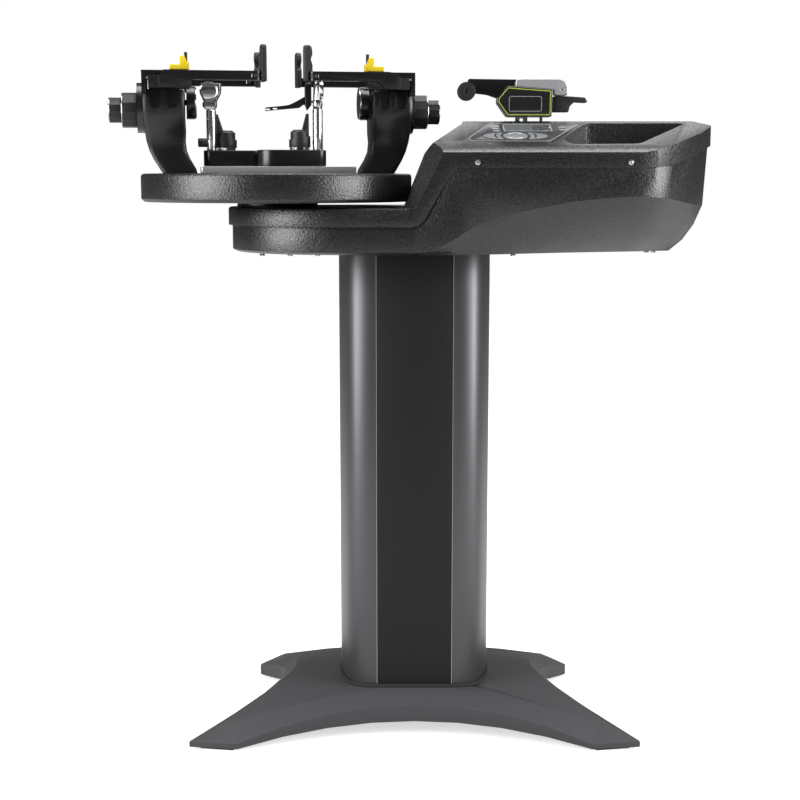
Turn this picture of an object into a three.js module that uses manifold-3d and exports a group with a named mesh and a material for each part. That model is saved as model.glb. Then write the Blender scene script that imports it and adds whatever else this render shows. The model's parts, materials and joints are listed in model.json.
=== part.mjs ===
// Racket stringing machine on a four-toed stand, in millimetres, +Z up.
// The origin is the middle of the footprint on the floor; the front faces -Y.
import * as THREE from 'three';
import { mergeVertices } from 'three/addons/utils/BufferGeometryUtils.js';
import Module from 'manifold-3d';

const wasm = await Module();
wasm.setup();

// Shared sizes
const fit = 0.3;
const overrun = 30;
const softEdge = 0.8;
const smallCorner = 2;
const degree = Math.PI / 180;
const chamferShare = 0.3;

// Four-toed foot casting
const base = {
  halfSpan: 357, frontReach: 186, rearReach: 211, height: 71,
  frontToeTop: 13, rearToeTop: 22, archTop: 52, archRise: 21, frontRidge: 30, rearRidge: 34, ridgeMid: 70,
  wall: 8, padThickness: 3,
};
const wallShares = {
  frontToe: [[0.784, 1], [1, 0.946]], frontMid: 0.651,
  rearToe: [[0.66, 0.97], [0.775, 0.765]], rearMid: 0.74, pull: [0.3725, 0.0758],
};
const landShares = {
  frontToe: [[0.742, 0.903], [0.857, 0.758]], frontMid: 0.6075,
  rearToe: [[0.6, 0.86], [0.69, 0.66]], rearMid: 0.7, pull: [0.43, 0.0758],
};
const ridgeShares = {
  frontToe: [[0.832, 0.769], [0.857, 0.699]], frontMid: 0.5215,
  rearToe: [[0.655, 0.885], [0.7, 0.775]], rearMid: 0.62, pull: [0.347, 0.043],
};
const ceilingShares = {
  frontToe: [[0.793, 0.699], [0.812, 0.645]], frontMid: 0.495,
  rearToe: [[0.625, 0.8], [0.65, 0.7]], rearMid: 0.57, pull: [0.356, 0.043],
};
const padShares = [0.14, 0.86];
const footSteps = { frontCount: 8, sideCount: 6, rearCount: 6 };

// Column
const column = {
  x: 7, halfWidth: 122.5, halfDepth: 90, wall: 5,
  panelHalfWidth: 60.5, panelThickness: 2.5, gasketLip: 2.5, gasketHeight: 6,
};
const columnShares = { flat: [0.588, 1], pullA: [0.841, 0.978], turn: [0.898, 0.667], pullB: [1, 0.278] };
const columnSteps = 3;

// Housing: a lower tub and an upper cover that meet along a seam
const housing = {
  arcX: -113, halfWidth: 180, rightEnd: 476.8, bottom: 778, lipRise: 42, deckRise: 70, seamRise: 60,
  noseSeamRise: 36, shoulderRise: 25, ridgeRise: 49, ridgeHalf: 24, noseFall: 9, noseRun: 31,
  wall: 3, deckWall: 4, edge: 9, deckEdge: 4, lip: 6, noseLip: 4,
};
const neck = {
  seamFoot: 2, seamTop: 80, foot: -9, knee: 25, kneeDrop: 48, brow: 33, browDrop: 37, crown: 88,
  chamferX: 7, chamferTurn: 29, chamferLean: 24, scoopGap: 5.5,
};
const seamRiseShares = [[0, 0], [0.128, 0.034], [0.244, 0.136], [0.756, 0.932], [0.859, 0.983], [1, 1]];
const seamNoseShares = [[0, 0], [0.282, 0.111], [0.53, 0.361], [0.7, 0.611], [0.93, 0.944], [1, 1]];
const seamNoseShare = 0.8024;
const noseShares = { start: 0.765, pullA: [0.23, 1], turnA: [0.396, 0.844], turnB: [0.806, 0.478], pullB: [1, 0.3],
  end: [1, 0.1] };
const bellyShares = [
  [0, 0.948, 0.02], [0.25, 0.946, 0.02], [0.343, 0.878, 0.197], [0.42, 0.783, 0.291], [0.498, 0.656, 0.335],
  [0.601, 0.5, 0.394], [0.716, 0.367, 0.424], [0.782, 0.3, 0.431], [0.867, 0.3, 0.409], [0.951, 0.36, 0.36],
  [1, 0.6, 0.36],
];
const tuckShares = { bottom: 0.59, knee: 0.955, bulge: 0.025, noseBulge: 0.09 };
const trayShares = [[0.484, 0.672], [0.509, 0.817], [0.722, 0.806], [0.906, 0.206], [0.578, 0.206]];
const tray = { depth: 77, radius: 9 };
const planSteps = { arcCount: 6, cornerCount: 2 };

// Control panel set into the sloping top
const panel = { thickness: 2, radius: 9, padDepth: 8, keyProud: 0.6, keyTravel: 1, displaySink: 0.2 };
const panelShares = [[0.1795, 0.609], [0.19, 0.686], [0.4426, 0.705], [0.5574, 0.103], [0.2589, 0.077]];
const keyPlace = [0.3366, 0.5199];
const displayPlace = [0.3817, 0.2385];
const keys = { radius: 19.5, wingHalfLength: 50, wingHalfHeight: 20, moat: 3.5, wingTip: 20 };
const display = { halfLength: 36, halfHeight: 17, radius: 3 };

// Tensioner rail and drive
const rail = {
  start: 84, end: 444, halfWidth: 16, depth: 27, neckHalf: 6, slotHalf: 12, neckDepth: 12, floor: 3, endBlock: 6,
};
const screw = { radius: 3.5, bore: 4.2 };
const ribs = { inset: 16, thickness: 5 };
const drive = { plateThickness: 12, plateHalf: 14, plateDrop: 12, plateDepth: 82, motorRadius: 22, motorLength: 52,
  motorDepth: 67 };
const inlet = { x: 300, rise: 110, halfLength: 25, halfHeight: 12, flange: 2, bodyInset: 3, depth: 26,
  socketWall: 2.5 };
const rocker = { x: 245, halfLength: 13, halfHeight: 9, depth: 9, pivotDepth: 5, clearance: 0.9, tilt: 6 };

// Turntable
const table = {
  x: -213.8, turn: 8.5, radius: 216.5, gap: 8, height: 44, plate: 6, rim: 8, edge: 5, boss: 42, bossEdge: 20,
  ribs: 6, ribWidth: 5, grooveHalf: 5, grooveDepth: 4,
};
const hub = { radius: 65, spindle: 20, flange: 7.7 };
const glideShare = 0.5612;
const glide = { halfLength: glideShare * table.radius, halfWidth: 60, thickness: 10.7, slotY: 32, neckHalf: 4.5,
  chamberHalf: 8.5, chamberHeight: 6.5, slotEnd: 12, radius: 3 };

// Towers: x runs outwards from each tower's own centre line
const towerPlaceShares = { left: 0.8291, right: 0.8545 };
const tower = {
  height: 128.7, outer: 30.5, inner: 35.5, halfDepth: 45, keyHalfLength: 8, radius: 9,
};
// height, outer edge, inner edge and half depth, as shares of the tower's own sizes
const towerShares = [
  [0, 0.04, -1.48, 0.84], [0.05, 0.18, -1.44, 0.79], [0.165, 0.49, -1.2, 0.67],
  [0.27, 0.7, -1.04, 0.62], [0.385, 0.84, -0.995, 0.64], [0.5, 0.91, -1.02, 0.73], [0.655, 1, -1, 0.89],
  [0.81, 1, -1, 0.98], [0.985, 1, -1, 1], [1, 0.97, -0.97, 0.98],
];
const pocket = { outer: 10.3, inner: -15.3, halfWidth: 8.5, depth: 5, height: 28, radius: 6 };
const guide = { wall: 7, lip: 8, lipInner: -6, halfLength: 58, rise: 28 };
const boss = { radius: 38.8, drop: 26.9, left: 8.7, right: 3 };
const knobs = {
  drop: 30.5, radius: 27.3, length: 23.5, smallRadius: 19.6, smallLength: 20, gap: 0.6, edge: 1, flutes: 12,
  fluteDepth: 1.6, shaft: 5, innerShaft: 2.5,
};
const innerWheel = { radius: 26, length: 16, drop: 18, rim: 3, stub: 4.5, stubLength: 2 };
const arm = {
  rise: 12.5, thickness: 14.1, near: 68, far: 82, elbowRise: 0.8, elbowInner: -20, elbowOuter: 4, slope: 10,
  bend: 6, tongueRise: 19, tongueInner: -13, tongueOuter: 20, tongueEnd: 8, wingInner: -46, wingEnd: 46,
  forkHeight: 6,
};
const reachShares = { left_front: 0.6684, left_rear: 0.6605, right_front: 0.6046, right_rear: 0.6139 };
const shoulderTurn = { left_front: 5, left_rear: -10, right_front: -22, right_rear: 4 };
const shoulder = { thickness: 8, rise: 67, near: -18, far: 9, foot: 1.5, heel: 3, notchRise: 46, notchDepth: 9,
  notchHalf: 8, radius: 9 };
const padPost = { outer: -3, inner: -38, halfWidth: 9, rise: 32.5, beam: 12, legOuter: -17, legInner: -30 };
const pad = {
  inner: -43, outer: -12, flange: 8, halfWidth: 8, blockInner: -40, blockOuter: -28, blockRise: 21.5,
  stepRise: 11.5, chamfer: 4, pinX: -38, pinRadius: 2.6, pinRise: 27.5, keyHalf: 3, keyDepth: 3, keyInset: 1,
};

// String clamps
const clamp = {
  armHeight: 25.7, pivotRadius: 28, postEndRadius: 13, pin: 9, pinHeight: 18, nutHalf: 20,
  postRadius: 8, postLength: 64, postSink: 20, spindle: 5, spindleLength: 12, edge: 1,
  knobAlong: 0.58, knobAside: 9, stud: 4, studDepth: 12, ringRadius: 15.6, ringTooth: 1.4, ringGap: 0.6,
  ringHeight: 3.6, teeth: 10, drumRadius: 17, drumHeight: 19, capRadius: 14.6, capHeight: 26, capEdge: 2.5,
  crownRadius: 10.6, crownHeight: 27.5, bandTilt: 9, bandMid: 15, finThickness: 4, finRise: 53, finRoot: 3,
  finReach: 17, finTip: 3, finHeel: 5, thumbRadius: 7, thumbLength: 13, thumbRise: 12, thumbSink: 2,
};
const clampPlaces = {
  left: { pivotShare: -0.1871, postShare: -0.4771, postY: 14, aside: -1, headTurn: -90, thumbTurn: 190, finTurn: 0 },
  right: { pivotShare: -0.0231, postShare: 0.2896, postY: -36, aside: 1, headTurn: 0, thumbTurn: 90, finTurn: 35 },
};
const head = { gap: 0.3, height: 40.5, front: 7, back: 7, side: 17.5, corner: 3, dialFront: 4, dialBack: 8.6,
  dialRadius: 14.5, dialRise: 28.5, dialAside: -3.5, dialEdge: 1.2, dialRing: 11,
  tongueHalf: 2, tongueReach: 11.7 };
// height, front, back, side edges of the head, as shares of its own sizes
const headShares = [
  [0, -0.93, 0.93, -0.51, 0.4], [0.09, -1, 1, -0.74, 0.55], [0.235, -1, 1, -0.77, 0.57],
  [0.32, -0.93, 0.72, -0.66, 0.57], [0.605, -0.79, 0.66, -0.97, 0.94], [1, -0.72, 0.6, -0.92, 1],
];
const jaw = { back: -10, front: -20, tail: -83, halfDepth: 6, bladeHalf: 2.5, hingeX: -15, hingeRise: 10.5,
  bottom: -3, top: 38.5, bladeBottom: -5, bladeTop: 18.5, slotHalf: 4, slotRadius: 1.2, notchHalf: 4 };
// length and height of the jaw's point and of the blade, as shares of their own boxes
const jawShares = [[0, 1], [0.8, 1], [1, 0.93], [1, 0.2], [0.66, 0], [0, 0.2]];
const bladeShares = [
  [1, 0.45, 1], [1, 1, 1], [0.7, 0.56, 6], [0.58, 0.42, 6], [0.02, 0.27, 1], [0, 0.14, 1], [0.02, 0.02, 1],
  [0.25, 0.1, 6], [0.88, 0.25, 4], [0.95, 0.45, 1],
];
const bladeSlotShares = [[0.07, 0.14], [0.25, 0.19]];

// Tension head that rides on the rail
const headBox = { left: 137, right: 225, rise: 7, height: 48, front: -22, back: 10, radius: 2.5, edge: 0.8 };
const shellShares = [[0, 0.45], [0.182, 0], [0.989, 0], [1, 0.885], [0.182, 1], [0, 0.6]];
const cover = { start: 30, end: 112, rise: 66, tabRise: 41, tabStart: 91, front: -18, back: 8, slope: 9,
  radius: 5, corner: 1, holeStart: 103, holeRise: 49, holeRadius: 2 };
const gripper = { tip: -45, heel: 79, bottomRise: 33, rise: 68, front: 10.5, back: 18.5 };
const gripperShares = [
  [0.07, 0.35, 2], [0.25, 0.28, 4], [0.47, 0, 4], [1, 0, 3], [1, 0.95, 2], [0.015, 1, 2], [0, 0.92, 1],
  [0.02, 0.55, 1],
];
const roller = { start: -47.5, rise: 47.5, radius: 14.8, front: -9, back: 10.2, groove: 3, pin: 3, earShare: 0.75 };
const lever = { gap: 0.4, rise: 14.4, height: 26, halfDepth: 7, y: -8, tail: 144, radius: 1 };
const leverShares = [[0, 0], [0, 0.92], [0.11, 1], [0.55, 0.94], [0.93, 0.88], [1, 0.62], [0.94, 0.56], [0.62, 0.6],
  [0.5, 0.36], [0.46, 0]];
const carriage = { start: 23, end: 85, archStart: 31, archEnd: 50, archHalf: 5, holeRadius: 3.2, holeSink: 0.5,
  root: 1, postStart: 70, postEnd: 74 };

// Levels that follow from the sizes
const deckZ = housing.bottom + housing.deckRise;
const lipZ = housing.bottom + housing.lipRise;
const seamTopZ = deckZ + housing.seamRise;
const noseSeamZ = seamTopZ + housing.noseSeamRise;
const shoulderZ = seamTopZ + housing.shoulderRise;
const ridgeZ = shoulderZ + housing.ridgeRise;
const trayZ = ridgeZ - tray.depth;
const railZ = ridgeZ - rail.depth;
const screwZ = (railZ + rail.floor + ridgeZ - rail.neckDepth) / 2;
const inletZ = housing.bottom + inlet.rise;
const tableZ = deckZ + table.gap;
const tableTop = tableZ + table.height;
const glideBottom = tableTop + fit;
const glideTop = glideBottom + glide.thickness;
const towerTop = glideBottom + tower.height;
const armBottom = towerTop + arm.rise;
const armTop = armBottom + arm.thickness;
const postTop = towerTop + padPost.rise;
const clampBottom = glideTop + fit;
const clampTop = clampBottom + clamp.armHeight;
const ringZ = clampTop + clamp.ringGap;
const drumZ = ringZ + clamp.ringHeight;
const clampPostTop = clampTop + clamp.postLength;
const clampHeadZ = clampPostTop + head.gap;

// Finishes
const finishes = {
  darkPowder: [0x3a3a3d, 0.6, 0.3], columnGrey: [0x4a4b4d, 0.45, 0.6], panelBlack: [0x1b1b1c, 0.5, 0.1],
  rubber: [0x141414, 0.9, 0], texturedAbs: [0x2b2b2d, 0.6, 0], glossBlack: [0x161617, 0.25, 0.2],
  steel: [0xb9bbbd, 0.3, 1], chrome: [0xd8d9da, 0.12, 1], lcd: [0x5d6064, 0.2, 0], keyGrey: [0x77797c, 0.5, 0],
  yellow: [0xe6d34a, 0.5, 0], olive: [0x2f3028, 0.4, 0.2], motorGrey: [0x85878a, 0.4, 0.8],
};

function finish(name) {
  const [color, roughness, metalness] = finishes[name];
  return new THREE.MeshStandardMaterial({ color, roughness, metalness });
}

// Turns a closed geometry's faces outwards, going by the sign of its volume.
function facingOut(geometry) {
  const place = geometry.getAttribute('position');
  const index = geometry.getIndex();
  const [a, b, c] = [new THREE.Vector3(), new THREE.Vector3(), new THREE.Vector3()];
  let volume = 0;
  for (let i = 0; i < index.count; i += 3) {
    a.fromBufferAttribute(place, index.getX(i));
    b.fromBufferAttribute(place, index.getX(i + 1));
    c.fromBufferAttribute(place, index.getX(i + 2));
    volume += a.dot(b.cross(c));
  }
  if (volume < 0) index.array.reverse();
  return geometry;
}

function welded(geometry) {
  const bare = geometry.clone();
  bare.deleteAttribute('normal');
  bare.deleteAttribute('uv');
  return facingOut(mergeVertices(bare));
}

function toSolid(geometry) {
  const closed = welded(geometry);
  const vertProperties = new Float32Array(closed.getAttribute('position').array);
  const triVerts = new Uint32Array(closed.getIndex().array);
  return new wasm.Manifold(new wasm.Mesh({ numProp: 3, vertProperties, triVerts }));
}

function toGeometry(solid) {
  const mesh = solid.getMesh();
  const geometry = new THREE.BufferGeometry();
  geometry.setAttribute('position', new THREE.BufferAttribute(mesh.vertProperties, 3));
  geometry.setIndex(new THREE.BufferAttribute(mesh.triVerts, 1));
  return geometry;
}

function joined(...geometries) {
  const solids = geometries.map(toSolid);
  return toGeometry(solids.reduce((sum, next) => sum.add(next)));
}

function cut(geometry, ...tools) {
  return toGeometry(tools.map(toSolid).reduce((rest, tool) => rest.subtract(tool), toSolid(geometry)));
}

function common(...geometries) {
  const solids = geometries.map(toSolid);
  return toGeometry(solids.reduce((sum, next) => sum.intersect(next)));
}

// A closed outline through corners given as x, y and radius.
function roundedOutline(corners) {
  const shape = new THREE.Shape();
  const points = corners.map(([x, y]) => new THREE.Vector2(x, y));
  corners.forEach(([, , radius], i) => {
    const here = points[i];
    const last = points[(i + points.length - 1) % points.length];
    const next = points[(i + 1) % points.length];
    const enter = towards(here, last, radius);
    const leave = towards(here, next, radius);
    if (i === 0) shape.moveTo(enter.x, enter.y);
    else shape.lineTo(enter.x, enter.y);
    if (radius > 0) shape.quadraticCurveTo(here.x, here.y, leave.x, leave.y);
  });
  shape.closePath();
  return shape;
}

function towards(from, to, distance) {
  const share = Math.min(distance / from.distanceTo(to), 0.49);
  return from.clone().lerp(to, share);
}

function rectangle(x0, x1, y0, y1, radius) {
  return roundedOutline([[x0, y0, radius], [x1, y0, radius], [x1, y1, radius], [x0, y1, radius]]);
}

function outline(points) {
  return new THREE.Shape(points.map((p) => (Array.isArray(p) ? new THREE.Vector2(...p) : p)));
}

// Points given as shares of a box, with any third value carried along.
function shared(shares, x0, x1, y0, y1) {
  return shares.map(([x, y, ...rest]) => [x0 + x * (x1 - x0), y0 + y * (y1 - y0), ...rest]);
}

// Moves every corner of a counter-clockwise polygon inwards by an amount, which may depend on the corner.
function insetPolygon(points, amount) {
  const distance = typeof amount === 'function' ? amount : () => amount;
  return points.map((here, i) => {
    const last = points[(i + points.length - 1) % points.length];
    const next = points[(i + 1) % points.length];
    const enter = here.clone().sub(last).normalize();
    const leave = next.clone().sub(here).normalize();
    const normalA = new THREE.Vector2(-enter.y, enter.x);
    const normalB = new THREE.Vector2(-leave.y, leave.x);
    const bisector = normalA.clone().add(normalB).normalize();
    return here.clone().addScaledVector(bisector, distance(here) / bisector.dot(normalA));
  });
}

const upright = new THREE.Matrix4().set(0, 0, 1, 0, 1, 0, 0, 0, 0, 1, 0, 0, 0, 0, 0, 1);

function extrude(shape, length, bevel, curveSegments) {
  const options = { depth: length - 2 * bevel, bevelEnabled: bevel > 0, bevelSize: bevel, bevelThickness: bevel,
    bevelOffset: -bevel, bevelSegments: 1, curveSegments };
  return new THREE.ExtrudeGeometry(shape, options).translate(0, 0, bevel);
}

// Outlines drawn in X-Y, X-Z and Y-Z, run along the axis that is left.
function alongZ(shape, from, to, bevel = 0, curveSegments = 3) {
  return extrude(shape, to - from, bevel, curveSegments).translate(0, 0, from);
}

function alongY(shape, from, to, bevel = 0, curveSegments = 2) {
  return extrude(shape, to - from, bevel, curveSegments).rotateX(Math.PI / 2).translate(0, to, 0);
}

function alongX(shape, from, to, bevel = 0, curveSegments = 3) {
  return extrude(shape, to - from, bevel, curveSegments).applyMatrix4(upright).translate(from, 0, 0);
}

function block(x0, x1, y0, y1, z0, z1) {
  return new THREE.BoxGeometry(x1 - x0, y1 - y0, z1 - z0).translate((x0 + x1) / 2, (y0 + y1) / 2, (z0 + z1) / 2);
}

function rodZ(radius, from, to, sides = 16) {
  return new THREE.CylinderGeometry(radius, radius, to - from, sides).rotateX(Math.PI / 2)
    .translate(0, 0, (from + to) / 2);
}

function rodX(radius, from, to, sides = 16) {
  return new THREE.CylinderGeometry(radius, radius, to - from, sides).rotateZ(-Math.PI / 2)
    .translate((from + to) / 2, 0, 0);
}

function rodY(radius, from, to, sides = 16) {
  return new THREE.CylinderGeometry(radius, radius, to - from, sides).translate(0, (from + to) / 2, 0);
}

// Profiles of radius and height, turned about the Z or X axis.
function turnedZ(profile, sides = 24) {
  const points = profile.map(([radius, height]) => new THREE.Vector2(radius, height));
  return new THREE.LatheGeometry(points, sides).rotateX(Math.PI / 2);
}

function turnedX(profile, sides = 24) {
  const points = profile.map(([radius, height]) => new THREE.Vector2(radius, height));
  return new THREE.LatheGeometry(points, sides).rotateZ(-Math.PI / 2);
}

// A skin through rings of equal point counts, closed by a cap on the first ring and the last.
function loft(rings) {
  const count = rings[0].length;
  const positions = rings.flat().flatMap((p) => [p.x, p.y, p.z]);
  const index = [];
  for (let r = 0; r + 1 < rings.length; r += 1) {
    for (let i = 0; i < count; i += 1) {
      const a = r * count + i;
      const b = r * count + ((i + 1) % count);
      index.push(a, b, b + count, a, b + count, a + count);
    }
  }
  const capped = (ring, start, up) => {
    const centre = ring.reduce((sum, p) => sum.add(p), new THREE.Vector3()).divideScalar(count);
    const middle = positions.length / 3;
    positions.push(centre.x, centre.y, centre.z);
    for (let i = 0; i < count; i += 1) {
      const [a, b] = [start + i, start + ((i + 1) % count)];
      if (up) index.push(middle, a, b);
      else index.push(middle, b, a);
    }
  };
  capped(rings[0], 0, false);
  capped(rings[rings.length - 1], (rings.length - 1) * count, true);
  const geometry = new THREE.BufferGeometry();
  geometry.setAttribute('position', new THREE.Float32BufferAttribute(positions, 3));
  geometry.setIndex(index);
  return geometry;
}

function raised(points, height) {
  const z = typeof height === 'function' ? height : () => height;
  return points.map((p) => new THREE.Vector3(p.x, p.y, z(p)));
}

// Straight-line reading of rows whose first column rises.
function readTable(rows, x, columnIndex = 1) {
  if (x <= rows[0][0]) return rows[0][columnIndex];
  for (let i = 1; i < rows.length; i += 1) {
    const [low, high] = [rows[i - 1], rows[i]];
    if (x <= high[0]) {
      const share = (x - low[0]) / (high[0] - low[0]);
      return low[columnIndex] + share * (high[columnIndex] - low[columnIndex]);
    }
  }
  return rows[rows.length - 1][columnIndex];
}

function addPart(parent, name, geometry, finishName) {
  const mesh = new THREE.Mesh(welded(geometry), finish(finishName));
  mesh.name = name;
  parent.add(mesh);
  return mesh;
}

const machine = new THREE.Group();

// Foot: one ring of the casting, counter-clockwise from the front left toe.
function footRing(shares, frontZ, rearZ, midZ) {
  const { halfSpan, frontReach, rearReach } = base;
  const [frontIn, frontOut] = shares.frontToe.map(([x, y]) => new THREE.Vector2(x * halfSpan, y * frontReach));
  const [rearIn, rearOut] = shares.rearToe.map(([x, y]) => new THREE.Vector2(x * halfSpan, y * rearReach));
  const pull = new THREE.Vector2(shares.pull[0] * halfSpan, shares.pull[1] * rearReach);
  const side = new THREE.QuadraticBezierCurve(new THREE.Vector2(frontOut.x, -frontOut.y), pull, rearOut);
  const height = (t, toeZ) => midZ + (toeZ - midZ) * t * t;
  const sideHeight = (t) => height(t, t < 0 ? frontZ : rearZ);
  const ring = [];
  for (let i = 0; i <= footSteps.frontCount; i += 1) {
    const t = -1 + (2 * i) / footSteps.frontCount;
    const midY = shares.frontMid * frontReach;
    ring.push(new THREE.Vector3(frontIn.x * t, -(midY + (frontIn.y - midY) * t * t), height(t, frontZ)));
  }
  for (let i = 0; i <= footSteps.sideCount; i += 1) {
    const p = side.getPoint(i / footSteps.sideCount);
    ring.push(new THREE.Vector3(p.x, p.y, sideHeight(-1 + (2 * i) / footSteps.sideCount)));
  }
  for (let i = 0; i <= footSteps.rearCount; i += 1) {
    const t = 1 - (2 * i) / footSteps.rearCount;
    const midY = shares.rearMid * rearReach;
    ring.push(new THREE.Vector3(rearIn.x * t, midY + (rearIn.y - midY) * t * t, height(t, rearZ)));
  }
  for (let i = footSteps.sideCount; i >= 0; i -= 1) {
    const p = side.getPoint(i / footSteps.sideCount);
    ring.push(new THREE.Vector3(-p.x, p.y, sideHeight(-1 + (2 * i) / footSteps.sideCount)));
  }
  return ring;
}

// The flat seat on top of the foot, a squarish oval with its points spread as the foot's ring is.
function seatRing(margin, z) {
  const roundness = 0.5;
  const spans = { front: 46, side: 40, rear: 46 };
  const point = (angle) => {
    const [c, s] = [Math.cos(angle * degree), Math.sin(angle * degree)];
    const x = Math.sign(c) * Math.abs(c) ** roundness * (column.halfWidth + margin);
    const y = Math.sign(s) * Math.abs(s) ** roundness * (column.halfDepth + margin);
    return new THREE.Vector3(x, y, z);
  };
  const ring = [];
  const sweep = (middle, span, steps) => {
    for (let i = 0; i <= steps; i += 1) ring.push(point(middle - span + (2 * span * i) / steps));
  };
  sweep(-90, spans.front, footSteps.frontCount);
  sweep(0, spans.side, footSteps.sideCount);
  sweep(90, spans.rear, footSteps.rearCount);
  sweep(180, spans.side, footSteps.sideCount);
  return ring;
}

function buildFoot(parent) {
  const landZ = base.padThickness + fit;
  const wall = footRing(wallShares, landZ, landZ, landZ + base.archRise);
  const land = footRing(landShares, landZ, landZ, landZ + base.archRise);
  const rings = [
    seatRing(base.wall / -4, base.height - base.wall),
    footRing(ceilingShares, base.frontRidge - base.wall, base.rearRidge - base.wall, base.ridgeMid - base.wall),
    land,
    wall,
    footRing(wallShares, base.frontToeTop, base.rearToeTop, base.archTop),
    footRing(ridgeShares, base.frontRidge, base.rearRidge, base.ridgeMid),
    seatRing(2 * column.gasketLip, base.height),
  ];
  addPart(parent, 'base_casting', loft(rings), 'darkPowder');
  const { frontCount: front, sideCount: side, rearCount: rear } = footSteps;
  const corners = {
    front_left: [0, wall.length - 1], front_right: [front, front + 1],
    rear_right: [front + side + 2, front + side + 1],
    rear_left: [front + side + rear + 2, front + side + rear + 3],
  };
  for (const [place, [inner, outer]] of Object.entries(corners)) {
    const toe = (u, v) => wall[inner].clone().lerp(wall[outer], u).lerp(land[inner].clone().lerp(land[outer], u), v);
    const [low, high] = padShares;
    const square = [toe(low, low), toe(high, low), toe(high, high), toe(low, high)].map((p) => [p.x, p.y]);
    addPart(parent, `foot_pad_${place}`, alongZ(outline(square), 0, base.padThickness), 'rubber');
  }
}

// Column outline as a counter-clockwise polygon.
function columnPolygon() {
  const at = ([x, y]) => new THREE.Vector2(x * column.halfWidth, y * column.halfDepth);
  const { flat, pullA, turn, pullB } = columnShares;
  const quarter = [
    ...new THREE.QuadraticBezierCurve(at(flat), at(pullA), at(turn)).getPoints(columnSteps),
    ...new THREE.QuadraticBezierCurve(at(turn), at(pullB), at([1, 0])).getPoints(columnSteps).slice(1),
  ];
  const rear = quarter.slice(0, -1).reverse();
  const mirror = (points, sx, sy) => points.map((p) => new THREE.Vector2(p.x * sx, p.y * sy));
  return [
    ...mirror(quarter, 1, -1),
    ...rear,
    ...mirror(quarter, -1, 1),
    ...mirror(rear, -1, -1),
  ];
}

function ringShape(outer, inner) {
  const shape = outline(outer);
  shape.holes.push(new THREE.Path(inner));
  return shape;
}

function buildColumn(parent) {
  const polygon = columnPolygon();
  const tube = alongZ(ringShape(polygon, insetPolygon(polygon, column.wall)), base.height, housing.bottom);
  const recess = column.panelHalfWidth + fit;
  const face = -column.halfDepth;
  const slot = block(-recess, recess, face - overrun, face + column.panelThickness + fit,
    base.height - overrun, housing.bottom + overrun);
  addPart(parent, 'column_extrusion', cut(tube, slot), 'columnGrey');
  const sheet = block(-column.panelHalfWidth, column.panelHalfWidth, face, face + column.panelThickness,
    base.height, housing.bottom);
  addPart(parent, 'column_panel', sheet, 'panelBlack');
  const collar = ringShape(insetPolygon(polygon, -column.gasketLip), insetPolygon(polygon, -fit));
  addPart(parent, 'column_gasket', alongZ(collar, base.height, base.height + column.gasketHeight), 'rubber');
}

// Housing: plan outline, counter-clockwise from the left end along the front.
const run = housing.rightEnd - housing.arcX;
const noseStart = housing.arcX + noseShares.start * run;
const noseSeamX = housing.arcX + seamNoseShare * run;

function neckX(share) {
  return neck.seamFoot + share * (neck.seamTop - neck.seamFoot);
}

function planPolygon() {
  const front = [];
  for (let i = 0; i <= planSteps.arcCount; i += 1) {
    const angle = Math.PI + (i / planSteps.arcCount) * (Math.PI / 2);
    const y = i === 0 ? 0 : housing.halfWidth * Math.sin(angle);
    front.push(new THREE.Vector2(housing.arcX + housing.halfWidth * Math.cos(angle), y));
  }
  const bellyX = bellyShares.map(([share]) => housing.arcX + share * run);
  const stations = [...seamRiseShares.map(([share]) => neckX(share)), ...bellyX.slice(2, 7)];
  for (const x of stations) front.push(new THREE.Vector2(x, -housing.halfWidth));
  const at = ([x, y]) => new THREE.Vector2(
    noseStart + x * (housing.rightEnd - noseStart), -y * housing.halfWidth);
  const { pullA, turnA, turnB, pullB, end } = noseShares;
  const start = new THREE.Vector2(noseStart, -housing.halfWidth);
  front.push(...new THREE.QuadraticBezierCurve(start, at(pullA), at(turnA)).getPoints(planSteps.cornerCount));
  front.push(...new THREE.QuadraticBezierCurve(at(turnB), at(pullB), at(end)).getPoints(planSteps.cornerCount));
  const rear = front.slice(1).reverse().map((p) => new THREE.Vector2(p.x, -p.y));
  return [...front, ...rear];
}

function seamZ(x) {
  if (x < noseSeamX) {
    const share = (x - neck.seamFoot) / (neck.seamTop - neck.seamFoot);
    return lipZ + readTable(seamRiseShares, share) * (seamTopZ - lipZ);
  }
  const share = (x - noseSeamX) / (housing.rightEnd - noseSeamX);
  return seamTopZ + readTable(seamNoseShares, share) * (noseSeamZ - seamTopZ);
}

// How far the cover hangs over the tub at each x.
function lipAt(x) {
  const left = readTable([[neck.seamFoot, housing.lip], [neckX(seamRiseShares[3][0]), 0]], x);
  const turnX = noseStart + noseShares.turnA[0] * (housing.rightEnd - noseStart);
  const endX = noseStart + noseShares.turnB[0] * (housing.rightEnd - noseStart);
  const right = readTable([[turnX, 0], [endX, housing.noseLip]], x);
  return left + right;
}

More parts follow.
